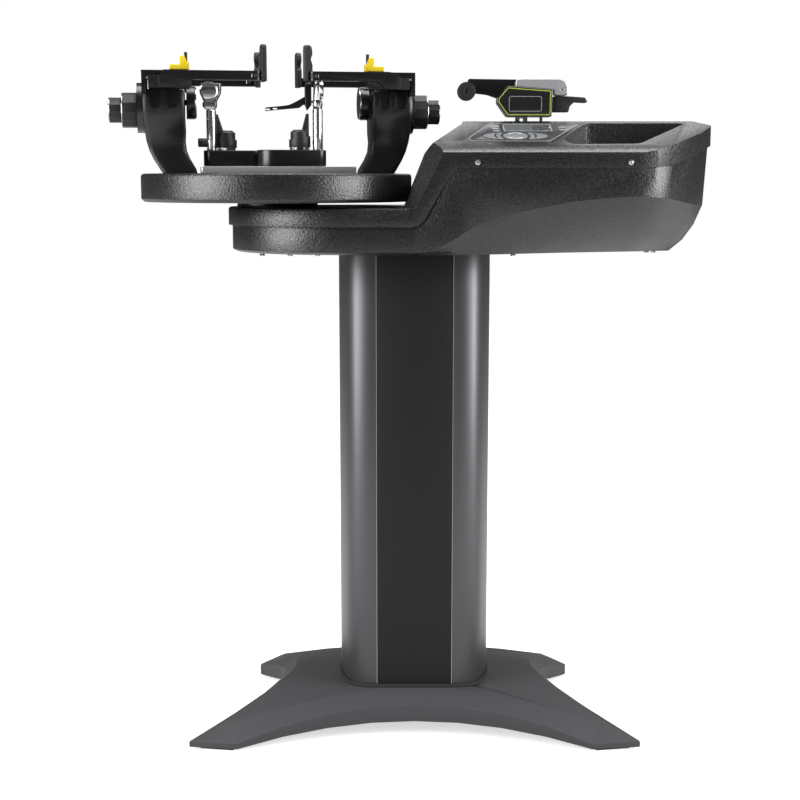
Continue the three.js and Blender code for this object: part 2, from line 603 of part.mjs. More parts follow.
function tubRings(plan, inset) {
  const rim = insetPolygon(plan, (p) => lipAt(p.x) + inset);
  const tuck = (x, share) => (x > noseStart ? noseStart + (x - noseStart) * share : x);
  const belly = rim.map((p) => {
    const share = Math.max(0, (p.x - housing.arcX) / run);
    const width = readTable(bellyShares, share, 1);
    const knee = readTable(bellyShares, share, 2);
    const x = p.x < housing.arcX ? housing.arcX + (p.x - housing.arcX) * width : tuck(p.x, tuckShares.bottom);
    const low = new THREE.Vector3(x, p.y * width, housing.bottom + inset);
    const kneeZ = housing.bottom + knee * (ridgeZ - housing.bottom) + inset / 2;
    const high = new THREE.Vector3(tuck(p.x, tuckShares.knee), p.y, kneeZ);
    const nose = Math.max(0, (p.x - noseStart) / (housing.rightEnd - noseStart));
    const bulge = tuckShares.bulge + nose * (tuckShares.noseBulge - tuckShares.bulge);
    const between = (t) => new THREE.Vector3(
      low.x + (high.x - low.x) * (t + bulge), low.y + (high.y - low.y) * (t + bulge),
      low.z + (high.z - low.z) * (t - bulge));
    return [low, between(1 / 3), between(2 / 3), high];
  });
  const rings = [0, 1, 2, 3].map((level) => belly.map((points) => points[level]));
  rings.push(raised(rim, (p) => seamZ(p.x) + housing.edge));
  return rings;
}

// Everything between the seam, shifted up or down, and a height.
function seamPrism(height, shift) {
  const far = table.radius * 3;
  const noseXs = seamNoseShares.map(([share]) => noseSeamX + share * (housing.rightEnd - noseSeamX));
  const seamXs = [...seamRiseShares.map(([share]) => neckX(share)), ...noseXs];
  const line = [[-far, lipZ], ...seamXs.map((x) => [x, seamZ(x)]), [far, noseSeamZ]];
  const wide = housing.halfWidth + overrun;
  return alongY(outline([[far, height], [-far, height], ...line.map(([x, z]) => [x, z + shift])]), -wide, wide);
}

function buildTub(parent) {
  const plan = planPolygon();
  const outer = tubRings(plan, 0);
  const inner = tubRings(plan, housing.wall).reverse();
  const shell = loft([...outer, ...inner]);
  const back = housing.halfWidth;
  const [bodyX, bodyZ] = [inlet.halfLength - inlet.bodyInset + fit, inlet.halfHeight - inlet.bodyInset + fit];
  const socket = block(inlet.x - bodyX, inlet.x + bodyX, back - overrun, back + overrun, inletZ - bodyZ,
    inletZ + bodyZ);
  const gap = rocker.clearance;
  const window = block(rocker.x - rocker.halfLength - gap, rocker.x + rocker.halfLength + gap, back - overrun,
    back + overrun, inletZ - rocker.halfHeight - fit, inletZ + rocker.halfHeight + fit);
  const above = seamPrism(ridgeZ, -fit);
  addPart(parent, 'housing_lower', cut(shell, above, socket, window), 'texturedAbs');
}

// The cover's outer form, or with an inset, the hollow inside it.
function coverForm(plan, inset) {
  const { ridgeHalf, halfWidth, rightEnd, bottom, edge, noseRun, noseFall } = housing;
  const low = bottom - overrun - inset;
  const wide = halfWidth + overrun;
  const far = rightEnd + overrun;
  const sideCorners = [
    [neck.foot, low], [far, low], [far, ridgeZ - (noseFall * (noseRun + overrun)) / noseRun],
    [rightEnd - noseRun, ridgeZ], [neck.crown, ridgeZ],
    [neck.brow, ridgeZ - neck.browDrop], [neck.knee, ridgeZ - neck.kneeDrop], [neck.foot, deckZ],
  ].map(([x, z]) => new THREE.Vector2(x, z));
  const slope = (ridgeZ - shoulderZ) / (halfWidth - ridgeHalf);
  const frontCorners = [
    [-ridgeHalf, ridgeZ], [-(halfWidth - edge), shoulderZ + slope * edge],
    [-(halfWidth - edge / 4), shoulderZ - edge / 4], [-halfWidth, shoulderZ - edge], [-wide, shoulderZ - edge],
    [-wide, low],
  ].map(([y, z]) => new THREE.Vector2(y, z));
  const rearCorners = frontCorners.map((p) => new THREE.Vector2(-p.x, p.y)).reverse();
  const side = alongY(outline(insetPolygon(sideCorners, inset)), -wide, wide);
  const section = alongX(outline(insetPolygon([...frontCorners, ...rearCorners], inset)),
    neck.foot - overrun, far);
  const clipInset = inset > 0 ? (p) => lipAt(p.x) + inset : 0;
  const clip = alongZ(outline(insetPolygon(plan, clipInset)), low + overrun / 2, ridgeZ + overrun);
  const scoop = rodZ(table.radius + neck.scoopGap + inset, deckZ - (inset > 0 ? overrun : 0), ridgeZ + overrun, 48)
    .translate(table.x, 0, 0);
  const chamfers = [-1, 1].map((sideSign) => neckChamfer(sideSign, inset));
  const body = cut(common(side, section, clip), scoop, ...chamfers);
  const deckTop = deckZ - (inset > 0 ? housing.deckWall : 0);
  const edgeSize = inset > 0 ? 0 : housing.deckEdge;
  const rim = insetPolygon(plan, clipInset);
  const deckRings = [raised(rim, low + overrun / 2), raised(rim, deckTop - edgeSize)];
  if (edgeSize > 0) {
    deckRings.push(raised(insetPolygon(rim, edgeSize * chamferShare), deckTop - edgeSize * chamferShare));
    deckRings.push(raised(insetPolygon(rim, edgeSize), deckTop));
  }
  const keep = block(-table.radius * 3, neck.knee + inset, -wide, wide, low, deckZ + overrun);
  return joined(body, common(loft(deckRings), keep));
}

// A half space that takes the corner off the neck, at the front or the rear.
function neckChamfer(sideSign, inset) {
  const turn = neck.chamferTurn * degree;
  const lean = neck.chamferLean * degree;
  const normal = new THREE.Vector3(-Math.cos(turn) * Math.cos(lean), sideSign * Math.sin(turn) * Math.cos(lean),
    Math.sin(lean));
  const size = housing.halfWidth;
  const point = new THREE.Vector3(neck.chamferX, sideSign * housing.halfWidth, deckZ);
  point.addScaledVector(normal, -inset);
  const turnTo = new THREE.Quaternion().setFromUnitVectors(new THREE.Vector3(0, 0, 1), normal);
  const tool = new THREE.BoxGeometry(size, size, size).translate(0, 0, size / 2).applyQuaternion(turnTo)
    .translate(point.x, point.y, point.z);
  const floor = inset > 0 ? deckZ - overrun : deckZ;
  return common(tool, block(-size, size, -size - overrun, size + overrun, floor, floor + size));
}

// The sloping top's own plane: y runs up the slope to the ridge, z out of the surface.
const slopeRun = housing.halfWidth - housing.ridgeHalf;
const slopeAngle = Math.atan2(housing.ridgeRise, slopeRun);
const slopeLength = Math.hypot(housing.ridgeRise, slopeRun);

function slopeFrame() {
  const frame = new THREE.Group();
  frame.position.set(0, -housing.ridgeHalf, ridgeZ);
  frame.rotation.x = slopeAngle;
  frame.updateMatrix();
  return frame;
}

// Moves a geometry to a place on the sloping top, given as shares of its length and of its slope.
function onSlope(geometry, [along, drop]) {
  return geometry.translate(along * housing.rightEnd, -drop * slopeLength, 0);
}

function panelCorners(grow) {
  const corners = panelShares.map(([x, drop]) => new THREE.Vector2(x * housing.rightEnd, -drop * slopeLength));
  return insetPolygon(corners, -grow).map((p) => [p.x, p.y, panel.radius]);
}

function wingShape(sideSign, grow) {
  const shape = new THREE.Shape();
  const [long, high] = [keys.wingHalfLength + grow, keys.wingHalfHeight + grow];
  const inner = keys.radius + keys.moat - grow;
  const tip = keys.wingTip - grow;
  const outerAngle = Math.acos(tip / long);
  const innerAngle = Math.acos(tip / inner);
  shape.absellipse(0, 0, long, high, -outerAngle, outerAngle, false);
  shape.absarc(0, 0, inner, innerAngle, -innerAngle, true);
  shape.closePath();
  const points = shape.getPoints(4).map((p) => new THREE.Vector2(p.x * sideSign, p.y));
  return outline(points);
}

function centreKey(grow) {
  return new THREE.Shape().absarc(0, 0, keys.radius + grow, 0, 2 * Math.PI, false);
}

function displayShape(grow) {
  const [long, high] = [display.halfLength + grow, display.halfHeight + grow];
  return rectangle(-long, long, -high, high, display.radius);
}

const keySegments = 6;

function buildPanel(parent) {
  const frame = slopeFrame();
  parent.add(frame);
  const bottom = -panel.thickness;
  const plate = alongZ(roundedOutline(panelCorners(0)), bottom, 0);
  const through = (shape, place) => onSlope(alongZ(shape, bottom - overrun, overrun, 0, keySegments), place);
  addPart(frame, 'control_panel', cut(plate, through(centreKey(fit), keyPlace),
    through(wingShape(-1, fit), keyPlace), through(wingShape(1, fit), keyPlace),
    through(displayShape(fit), displayPlace)), 'glossBlack');
  const onPanel = (name, shape) => addPart(frame, name,
    onSlope(alongZ(shape, bottom, panel.keyProud, 0, keySegments), keyPlace), 'keyGrey');
  onPanel('key_set', centreKey(0));
  onPanel('key_minus', wingShape(-1, 0));
  onPanel('key_plus', wingShape(1, 0));
  addPart(frame, 'display_window', onSlope(alongZ(displayShape(0), bottom, -panel.displaySink), displayPlace),
    'lcd');
}

function buildCover(parent) {
  const plan = planPolygon();
  const outer = coverForm(plan, 0);
  const hollow = coverForm(plan, housing.wall);
  const { halfWidth, rightEnd, bottom } = housing;
  const below = seamPrism(bottom - 2 * overrun, 0);
  const trayPolygon = trayShares.map(([x, y]) => new THREE.Vector2(x * rightEnd, -y * halfWidth));
  const trayOutline = (grow) => roundedOutline(insetPolygon(trayPolygon, -grow).map((p) => [p.x, p.y, tray.radius]));
  const basin = alongZ(trayOutline(housing.wall), trayZ - housing.wall, ridgeZ + overrun, 0, 2);
  const hollowOfTray = alongZ(trayOutline(0), trayZ, ridgeZ + 2 * overrun, 0, 2);
  const frame = slopeFrame();
  const tilted = (geometry) => geometry.applyMatrix4(frame.matrix);
  const recessDepth = panel.thickness + fit;
  const wellDepth = recessDepth + panel.keyTravel + fit;
  const thickened = tilted(alongZ(roundedOutline(panelCorners(housing.wall)), -panel.padDepth, overrun));
  const recess = tilted(alongZ(roundedOutline(panelCorners(fit)), -recessDepth, overrun));
  const wellShapes = [centreKey(fit), wingShape(-1, fit), wingShape(1, fit)];
  const wells = wellShapes.map((shape) => tilted(onSlope(alongZ(shape, -wellDepth, overrun, 0, keySegments),
    keyPlace)));
  const ribAt = (x) => block(x, x + ribs.thickness, -housing.ridgeHalf, housing.ridgeHalf,
    railZ - ribs.inset, ridgeZ + overrun);
  const ribList = [rail.start + ribs.inset, rail.end - ribs.inset - ribs.thickness].map(ribAt);
  const slot = block(rail.start - fit, rail.end + fit, -rail.halfWidth - fit, rail.halfWidth + fit,
    railZ - fit, ridgeZ + overrun);
  const shell = cut(cut(outer, hollow), below);
  const inside = joined(basin, thickened, ...ribList);
  const whole = cut(joined(shell, common(inside, outer)), hollowOfTray, recess, ...wells, slot);
  addPart(parent, 'housing_upper', whole, 'texturedAbs');
}

function buildDrive(parent) {
  const { start, end, halfWidth, neckHalf, slotHalf, neckDepth, floor, endBlock } = rail;
  const chamberTop = ridgeZ - neckDepth;
  const bar = block(start, end, -halfWidth, halfWidth, railZ, ridgeZ);
  const mouth = block(start + endBlock, end - endBlock, -neckHalf, neckHalf, railZ + floor, ridgeZ + overrun);
  const chamber = block(start + endBlock, end - endBlock, -slotHalf, slotHalf, railZ + floor, chamberTop);
  const journal = rodX(screw.bore, start - overrun, end + overrun, 12).translate(0, 0, screwZ);
  addPart(parent, 'tension_rail', cut(bar, mouth, chamber, journal), 'steel');
  const plateStart = end + fit;
  const plateEnd = plateStart + drive.plateThickness;
  addPart(parent, 'lead_screw', rodX(screw.radius, start + fit, plateEnd, 12).translate(0, 0, screwZ), 'steel');
  const shape = rectangle(-drive.plateHalf, drive.plateHalf, ridgeZ - drive.plateDepth, ridgeZ - drive.plateDrop,
    smallCorner);
  const gearcase = alongX(shape, plateStart, plateEnd);
  const motor = rodX(drive.motorRadius, plateEnd - drive.motorLength - drive.plateThickness, plateEnd, 16)
    .translate(0, 0, ridgeZ - drive.motorDepth);
  const bearing = rodX(screw.bore, start, plateEnd + overrun, 12).translate(0, 0, screwZ);
  addPart(parent, 'drive_gearmotor', cut(joined(gearcase, motor), bearing), 'motorGrey');
}

function buildInlet(parent) {
  const face = housing.halfWidth + fit;
  const { x, halfLength, halfHeight, bodyInset, depth, socketWall } = inlet;
  const plate = block(x - halfLength, x + halfLength, face, face + inlet.flange, inletZ - halfHeight,
    inletZ + halfHeight);
  const [bodyX, bodyZ] = [halfLength - bodyInset, halfHeight - bodyInset];
  const body = block(x - bodyX, x + bodyX, face - depth, face + inlet.flange / 2, inletZ - bodyZ, inletZ + bodyZ);
  const [mouthX, mouthZ] = [bodyX - socketWall, bodyZ - socketWall];
  const mouth = block(x - mouthX, x + mouthX, face - depth + socketWall, face + overrun, inletZ - mouthZ,
    inletZ + mouthZ);
  addPart(parent, 'power_inlet', cut(joined(plate, body), mouth), 'panelBlack');
  const paddle = outline([
    [-rocker.halfLength, 0], [-rocker.halfLength, -rocker.depth], [rocker.halfLength, -rocker.depth],
    [rocker.halfLength, 0], [0, -rocker.depth / 4],
  ]);
  const key = alongZ(paddle, -rocker.halfHeight, rocker.halfHeight);
  const turned = new THREE.Group();
  turned.position.set(rocker.x, housing.halfWidth - rocker.pivotDepth, inletZ);
  turned.rotation.z = -rocker.tilt * degree;
  parent.add(turned);
  addPart(turned, 'power_rocker', key.translate(0, rocker.pivotDepth, 0), 'glossBlack');
}

// Turntable
const turntable = new THREE.Group();
turntable.position.set(table.x, 0, 0);
turntable.rotation.z = table.turn * degree;

function buildHub(parent) {
  const top = tableZ - fit;
  const spindleTop = tableTop - table.plate - fit;
  const profile = [[0, top - hub.flange], [hub.radius, top - hub.flange], [hub.radius, top], [hub.spindle, top],
    [hub.spindle, spindleTop], [0, spindleTop]];
  addPart(parent, 'turntable_hub', turnedZ(profile, 20).translate(table.x, 0, 0), 'steel');
}

function buildDisc() {
  const { radius, plate, rim, edge, boss: bossRadius, grooveHalf } = table;
  const under = tableTop - plate;
  const bore = hub.spindle + fit;
  const soft = edge * chamferShare;
  const profile = [
    [0, under], [bore, under], [bore, tableZ], [bossRadius, tableZ], [bossRadius, under],
    [radius - rim, under], [radius - rim, tableZ], [radius - edge, tableZ], [radius, tableZ + edge],
    [radius, tableTop - edge], [radius - soft, tableTop - soft], [radius - edge, tableTop], [0, tableTop],
  ];
  const ribList = [];
  for (let i = 0; i < table.ribs; i += 1) {
    const rib = block(bossRadius - edge, radius - rim + edge / 2, -table.ribWidth / 2, table.ribWidth / 2,
      tableZ + edge, under + plate / 2);
    ribList.push(rib.rotateZ(((i + 0.5) / table.ribs) * 2 * Math.PI));
  }
  const start = glide.halfLength + table.bossEdge;
  const grooves = [1, -1].map((s) => block(Math.min(s * start, s * (radius + overrun)),
    Math.max(s * start, s * (radius + overrun)), -grooveHalf, grooveHalf, tableTop - table.grooveDepth,
    tableTop + overrun));
  const disc = cut(joined(turnedZ(profile, 42), ...ribList), ...grooves);
  addPart(turntable, 'turntable_disc', disc, 'texturedAbs');
}

function buildGlide() {
  const { halfLength, halfWidth, slotEnd, slotY, neckHalf, chamberHalf, chamberHeight, radius } = glide;
  const plate = alongZ(rectangle(-halfLength, halfLength, -halfWidth, halfWidth, radius), glideBottom, glideTop);
  const slotLength = halfLength - slotEnd;
  const tools = [-1, 1].flatMap((s) => {
    const y = s * slotY;
    const neckTool = block(-slotLength, slotLength, y - neckHalf, y + neckHalf, glideBottom - overrun,
      glideTop + overrun);
    const chamber = block(-slotLength, slotLength, y - chamberHalf, y + chamberHalf, glideBottom - overrun,
      glideBottom + chamberHeight);
    return [neckTool, chamber];
  });
  addPart(turntable, 'glide_plate', cut(plate, ...tools), 'steel');
}

// Tower: a rounded rectangle at each height, from the foot to the head.
function towerRing([share, outer, inner, depth]) {
  const deep = depth * tower.halfDepth;
  const shape = rectangle(inner * tower.inner, outer * tower.outer, -deep, deep, tower.radius);
  return raised(shape.getPoints(2).slice(0, -1), glideBottom + share * tower.height);
}

function towerCasting(bossLength) {
  const { outer } = tower;
  const body = loft(towerShares.map(towerRing));
  const guideTop = towerTop + guide.rise;
  const lipBottom = guideTop - guide.lip;
  const hook = alongY(outline([
    [outer - guide.wall, towerTop - guide.lip], [outer, towerTop - guide.lip], [outer, guideTop],
    [guide.lipInner, guideTop], [guide.lipInner, lipBottom], [outer - guide.wall, lipBottom],
  ]), -guide.halfLength, guide.halfLength);
  const bossBody = rodX(boss.radius, outer - guide.wall, outer + bossLength, 20).translate(0, 0, towerTop - boss.drop);
  const key = block(-tower.keyHalfLength, tower.keyHalfLength, -table.grooveHalf + fit, table.grooveHalf - fit,
    tableTop - table.grooveDepth + fit, glideBottom + fit);
  const leg = block(padPost.legInner, padPost.legOuter, -padPost.halfWidth, padPost.halfWidth, towerTop - fit, postTop);
  const beam = block(padPost.inner, padPost.outer, -padPost.halfWidth, padPost.halfWidth, postTop - padPost.beam,
    postTop);
  const { halfWidth, height, depth, radius } = pocket;
  const pocketTools = [-1, 1].flatMap((sy) => [pocket.outer, pocket.inner].map((middle) => {
    const shape = roundedOutline([[middle - halfWidth, towerTop + overrun, 0],
      [middle - halfWidth, towerTop - height, radius], [middle + halfWidth, towerTop - height, radius],
      [middle + halfWidth, towerTop + overrun, 0]]);
    const from = tower.halfDepth - depth;
    return sy > 0 ? alongY(shape, from, tower.halfDepth + overrun) : alongY(shape, -tower.halfDepth - overrun, -from);
  }));
  const shaft = rodX(knobs.shaft + 2 * fit, -tower.inner - overrun, outer + bossLength + overrun, 12)
    .translate(0, 0, towerTop - knobs.drop);
  const keySlot = block(padPost.inner - overrun, padPost.outer + overrun, -pad.keyHalf - fit, pad.keyHalf + fit,
    postTop - pad.keyDepth - fit, postTop + overrun);
  const stubHole = rodX(innerWheel.stub + fit, -tower.inner - overrun, -tower.inner + 2 * innerWheel.stub, 12)
    .translate(0, 0, towerTop - innerWheel.drop);
  const solid = cut(joined(body, key), ...pocketTools);
  return cut(joined(solid, bossBody, hook, leg, beam), shaft, keySlot, stubHole);
}

// A grip with flutes round it, on a shaft that runs inwards.
function knobGeometry(radius, start, length, shaftRadius, shaftEnd, boreRadius) {
  const points = [];
  const corners = knobs.flutes * 2;
  for (let i = 0; i < corners; i += 1) {
    const angle = ((i + 0.5) / corners) * 2 * Math.PI;
    const r = i % 2 === 0 ? radius - knobs.fluteDepth : radius;
    points.push([r * Math.cos(angle), r * Math.sin(angle)]);
  }
  const grip = alongX(outline(points), start, start + length, knobs.edge);
  const whole = joined(grip, rodX(shaftRadius, shaftEnd, start + length / 2, 12));
  const solid = boreRadius > 0 ? cut(whole, rodX(boreRadius, shaftEnd - overrun, start + length + overrun, 12)) : whole;
  return solid.translate(0, 0, towerTop - knobs.drop);
}

function armGeometry(side, length) {
  const { near, far, elbowInner, elbowOuter, slope, bend, tongueInner, tongueOuter } = arm;
  const end = -length;
  const elbowZ = towerTop + arm.elbowRise;
  const tongueTop = towerTop + arm.tongueRise;
  const shape = roundedOutline([
    [end, armBottom, 0], [elbowInner - slope, armBottom, bend], [elbowInner, elbowZ, bend / 2],
    [elbowOuter, elbowZ, smallCorner], [elbowOuter, armBottom + bend, bend / 2], [elbowOuter - slope, armTop, bend],
    [end, armTop, 0]]);
  const beam = alongY(shape, near, far);
  const tongue = block(tongueInner, tongueOuter, arm.tongueEnd, near + fit, elbowZ, tongueTop);
  const wing = alongY(roundedOutline([
    [arm.wingInner, elbowZ + bend / 2, smallCorner], [arm.wingInner + bend / 2, elbowZ, smallCorner],
    [tongueInner + fit, elbowZ, 0], [tongueInner + fit, armBottom + fit, 0], [arm.wingInner, armBottom + fit, 0]]),
  arm.wingEnd, near + fit);
  const tipRadius = (far - near) / 2;
  const nose = rodZ(tipRadius, armBottom, armTop, 12).translate(end, (far + near) / 2, 0);
  const midZ = (armBottom + armTop) / 2;
  const fork = block(end - tipRadius - overrun, end + tipRadius + 2 * fit, near - overrun, far + overrun,
    midZ - arm.forkHeight / 2, midZ + arm.forkHeight / 2);
  const whole = cut(joined(beam, nose, tongue, wing), fork);
  return side > 0 ? whole : flipped(whole);
}

function flipped(geometry) {
  return facingOut(welded(geometry).scale(1, -1, 1));
}

// The plate swings round the arm's rounded end on a tongue that sits in the fork.
function shoulderGeometry(side) {
  const { near, far, notchHalf, notchDepth, radius, heel } = shoulder;
  const tipRadius = (arm.far - arm.near) / 2;
  const outer = -(tipRadius + fit);
  const foot = armBottom - shoulder.foot;
  const top = towerTop + shoulder.rise;
  const notchZ = towerTop + shoulder.notchRise;
  const shape = roundedOutline([
    [near, foot, smallCorner], [far, foot, smallCorner], [far, top, radius], [near + heel, top, radius],
    [near, notchZ + notchHalf, 0], [near + notchDepth, notchZ, smallCorner],
    [near, notchZ - notchHalf, 0]]);
  const plate = alongX(shape, outer - shoulder.thickness, outer, softEdge, 2);
  const midZ = (armBottom + armTop) / 2;
  const half = arm.forkHeight / 2 - fit;
  const lug = rodZ(tipRadius - fit, midZ - half, midZ + half, 10);
  const bridge = block(outer - softEdge, 0, -tipRadius / 2, tipRadius / 2, midZ - half, midZ + half);
  const whole = joined(plate, lug, bridge);
  return side > 0 ? whole : flipped(whole);
}

function headPadGeometry() {
  const seat = postTop + fit;
  const flangeTop = seat + pad.flange;
  const [blockTop, stepTop] = [postTop + pad.blockRise, postTop + pad.stepRise];
  const shape = outline([
    [pad.inner, seat], [pad.outer, seat], [pad.outer, flangeTop], [pad.blockOuter, flangeTop],
    [pad.blockOuter, blockTop], [pad.blockInner + pad.chamfer, blockTop], [pad.blockInner, stepTop],
    [pad.inner, stepTop]]);
  const body = alongY(shape, -pad.halfWidth, pad.halfWidth, softEdge);
  const key = block(padPost.inner + pad.keyInset, pad.outer - pad.keyInset, -pad.keyHalf, pad.keyHalf,
    postTop - pad.keyDepth, postTop + 2 * fit);
  const pin = rodZ(pad.pinRadius, flangeTop, postTop + pad.pinRise, 12).translate(pad.pinX, 0, 0);
  return joined(body, key, pin);
}

function buildTower(name, centre, bossLength) {
  const sign = name === 'left' ? -1 : 1;
  const group = new THREE.Group();
  group.position.x = sign * centre;
  group.rotation.z = sign < 0 ? Math.PI : 0;
  turntable.add(group);
  addPart(group, `tower_${name}`, towerCasting(bossLength), 'glossBlack');
  const { shaft, innerShaft, gap, length, radius, smallRadius, smallLength } = knobs;
  const knobStart = tower.outer + bossLength + fit;
  const big = knobGeometry(radius, knobStart, length, shaft, -tower.outer / 2, innerShaft + fit);
  addPart(group, `arm_knob_${name}`, big, 'panelBlack');
  const small = knobGeometry(smallRadius, knobStart + length + gap, smallLength, innerShaft, -tower.outer / 2, 0);
  addPart(group, `pad_knob_${name}`, small, 'panelBlack');
  const wheelStart = -tower.inner - innerWheel.stubLength;
  const wheelEnd = wheelStart - innerWheel.length;
  const stubEnd = -tower.inner + innerWheel.stub;
  const wheel = turnedX([[0, wheelEnd], [innerWheel.radius - innerWheel.rim, wheelEnd],
    [innerWheel.radius, wheelEnd + innerWheel.rim], [innerWheel.radius, wheelStart], [innerWheel.stub, wheelStart],
    [innerWheel.stub, stubEnd], [0, stubEnd]], 16).translate(0, 0, towerTop - innerWheel.drop);
  addPart(group, `inner_wheel_${name}`, wheel, 'glossBlack');
  for (const end of ['front', 'rear']) {
    const side = (end === 'rear' ? 1 : -1) * sign;
    const key = `${name}_${end}`;
    const reach = reachShares[key] * table.radius;
    addPart(group, `arm_${key}`, armGeometry(side, reach), 'glossBlack');
    const pivot = new THREE.Group();
    pivot.position.set(-reach, (side * (arm.near + arm.far)) / 2, 0);
    pivot.rotation.z = shoulderTurn[key] * degree;
    group.add(pivot);
    addPart(pivot, `shoulder_${key}`, shoulderGeometry(side), 'panelBlack');
  }
  addPart(group, `head_pad_${name}`, headPadGeometry(), 'yellow');
}

// Clamp: outline round two circles of different size, from the pivot at the origin along +X.
function teardrop(bigRadius, smallRadius, distance) {
  const lean = Math.acos((bigRadius - smallRadius) / distance);
  const shape = new THREE.Shape();
  shape.absarc(0, 0, bigRadius, lean, 2 * Math.PI - lean, false);
  shape.absarc(distance, 0, smallRadius, -lean, lean, false);
  shape.closePath();
  return shape;
}

function clampArmGeometry(distance, aside) {
  const slab = alongZ(teardrop(clamp.pivotRadius, clamp.postEndRadius, distance), clampBottom, clampTop,
    clamp.edge, 5);
  const pinHole = rodZ(clamp.pin + fit, clampBottom - overrun, clampBottom + clamp.pinHeight + fit);
  const postHole = rodZ(clamp.postRadius + fit, clampTop - clamp.postSink - fit, clampTop + overrun, 14)
    .translate(distance, 0, 0);
  const studHole = rodZ(clamp.stud + fit, clampTop - clamp.studDepth - fit, clampTop + overrun, 10)
    .translate(distance * clamp.knobAlong, aside * clamp.knobAside, 0);
  return cut(slab, pinHole, postHole, studHole);
}

function clampSliderGeometry() {
  const { nutHalf, pin } = clamp;
  const [nutY, neckY] = [glide.chamberHalf - fit, glide.neckHalf - fit];
  const nut = block(-nutHalf, nutHalf, -nutY, nutY, glideBottom + fit, glideBottom + glide.chamberHeight - fit);
  const neckBar = block(-nutHalf, nutHalf, -neckY, neckY, glideBottom + fit, glideTop);
  const post = rodZ(pin, glideTop + fit / 2, clampBottom + clamp.pinHeight, 12);
  const root = rodZ(neckY, glideBottom + 2 * fit, clampBottom + 2 * fit, 10);
  return joined(nut, neckBar, root, post);
}

function clampKnobGeometry(finTurn) {
  const teeth = [];
  for (let i = 0; i < clamp.teeth * 2; i += 1) {
    const angle = (i / clamp.teeth) * Math.PI;
    const r = clamp.ringRadius - (i % 2) * clamp.ringTooth;
    teeth.push([r * Math.cos(angle), r * Math.sin(angle)]);
  }
  const ring = alongZ(outline(teeth), ringZ, drumZ + fit);
  const drum = rodZ(clamp.drumRadius, drumZ, drumZ + clamp.drumHeight, 16);
  const size = overrun * 3;
  const tilt = new THREE.BoxGeometry(size, size, overrun).translate(0, 0, overrun / 2).rotateY(-clamp.bandTilt * degree)
    .translate(0, 0, drumZ + clamp.bandMid);
  const { capRadius, capHeight, capEdge } = clamp;
  const cap = turnedZ([[0, drumZ + fit], [capRadius, drumZ + fit], [capRadius, drumZ + capHeight - capEdge],
    [capRadius - capEdge, drumZ + capHeight], [clamp.crownRadius, drumZ + capHeight],
    [clamp.crownRadius, drumZ + clamp.crownHeight], [0, drumZ + clamp.crownHeight]], 16);
  const stud = rodZ(clamp.stud, clampTop - clamp.studDepth, drumZ, 10);
  const half = clamp.finThickness / 2;
  const fin = alongY(outline([
    [clamp.finRoot, drumZ + clamp.finRoot], [clamp.finReach, drumZ + clamp.finRoot],
    [clamp.finReach, drumZ + clamp.finRise], [clamp.finReach - clamp.finTip, drumZ + clamp.finRise],
    [clamp.finHeel, drumZ + capHeight]]), -half, half).rotateZ(finTurn * degree);
  return joined(ring, cut(drum, tilt), cap, stud, fin);
}

function clampPostGeometry(thumbTurn) {
  const { postRadius, spindle, spindleLength, edge, thumbSink } = clamp;
  const foot = clampTop - clamp.postSink;
  const post = turnedZ([[0, foot], [postRadius, foot], [postRadius, clampPostTop - edge],
    [postRadius - edge, clampPostTop], [spindle, clampPostTop], [spindle, clampPostTop + spindleLength],
    [0, clampPostTop + spindleLength]], 14);
  const thumb = rodX(clamp.thumbRadius, postRadius - thumbSink, postRadius + clamp.thumbLength, 14)
    .rotateZ(thumbTurn * degree).translate(0, 0, clampTop + clamp.thumbRise);
  return joined(post, thumb);
}

// The head: a block that widens upwards, with a dial behind it and a tongue that carries the jaw.
function clampHeadGeometry() {
  const { corner, dialFront, dialBack, dialRadius, dialEdge, dialRing, tongueHalf } = head;
  const body = loft(headShares.map(([height, front, back, low, high]) => {
    const shape = outline([
      [front * head.front, low * head.side + corner], [front * head.front + corner, low * head.side],
      [back * head.back - corner, low * head.side], [back * head.back, low * head.side + corner],
      [back * head.back, high * head.side - corner], [back * head.back - corner, high * head.side],
      [front * head.front + corner, high * head.side], [front * head.front, high * head.side - corner]]);
    return raised(shape.getPoints(1).slice(0, 8), clampHeadZ + height * head.height);
  }));
  const dial = turnedX([
    [0, dialFront - dialEdge], [dialRadius - dialEdge, dialFront - dialEdge], [dialRadius, dialFront],
    [dialRadius, dialBack - dialEdge], [dialRing, dialBack], [0, dialBack]], 16)
    .translate(0, head.dialAside, clampHeadZ + head.dialRise);
  const hingeZ = clampHeadZ + jaw.hingeRise;
  const tongue = block(-head.tongueReach, -head.front / 2, -tongueHalf, tongueHalf, hingeZ - tongueHalf,
    hingeZ + tongueHalf);
  const seat = rodZ(clamp.spindle + fit, clampHeadZ - overrun, clampPostTop + clamp.spindleLength + fit, 12);
  return cut(joined(body, dial, tongue), seat);
}

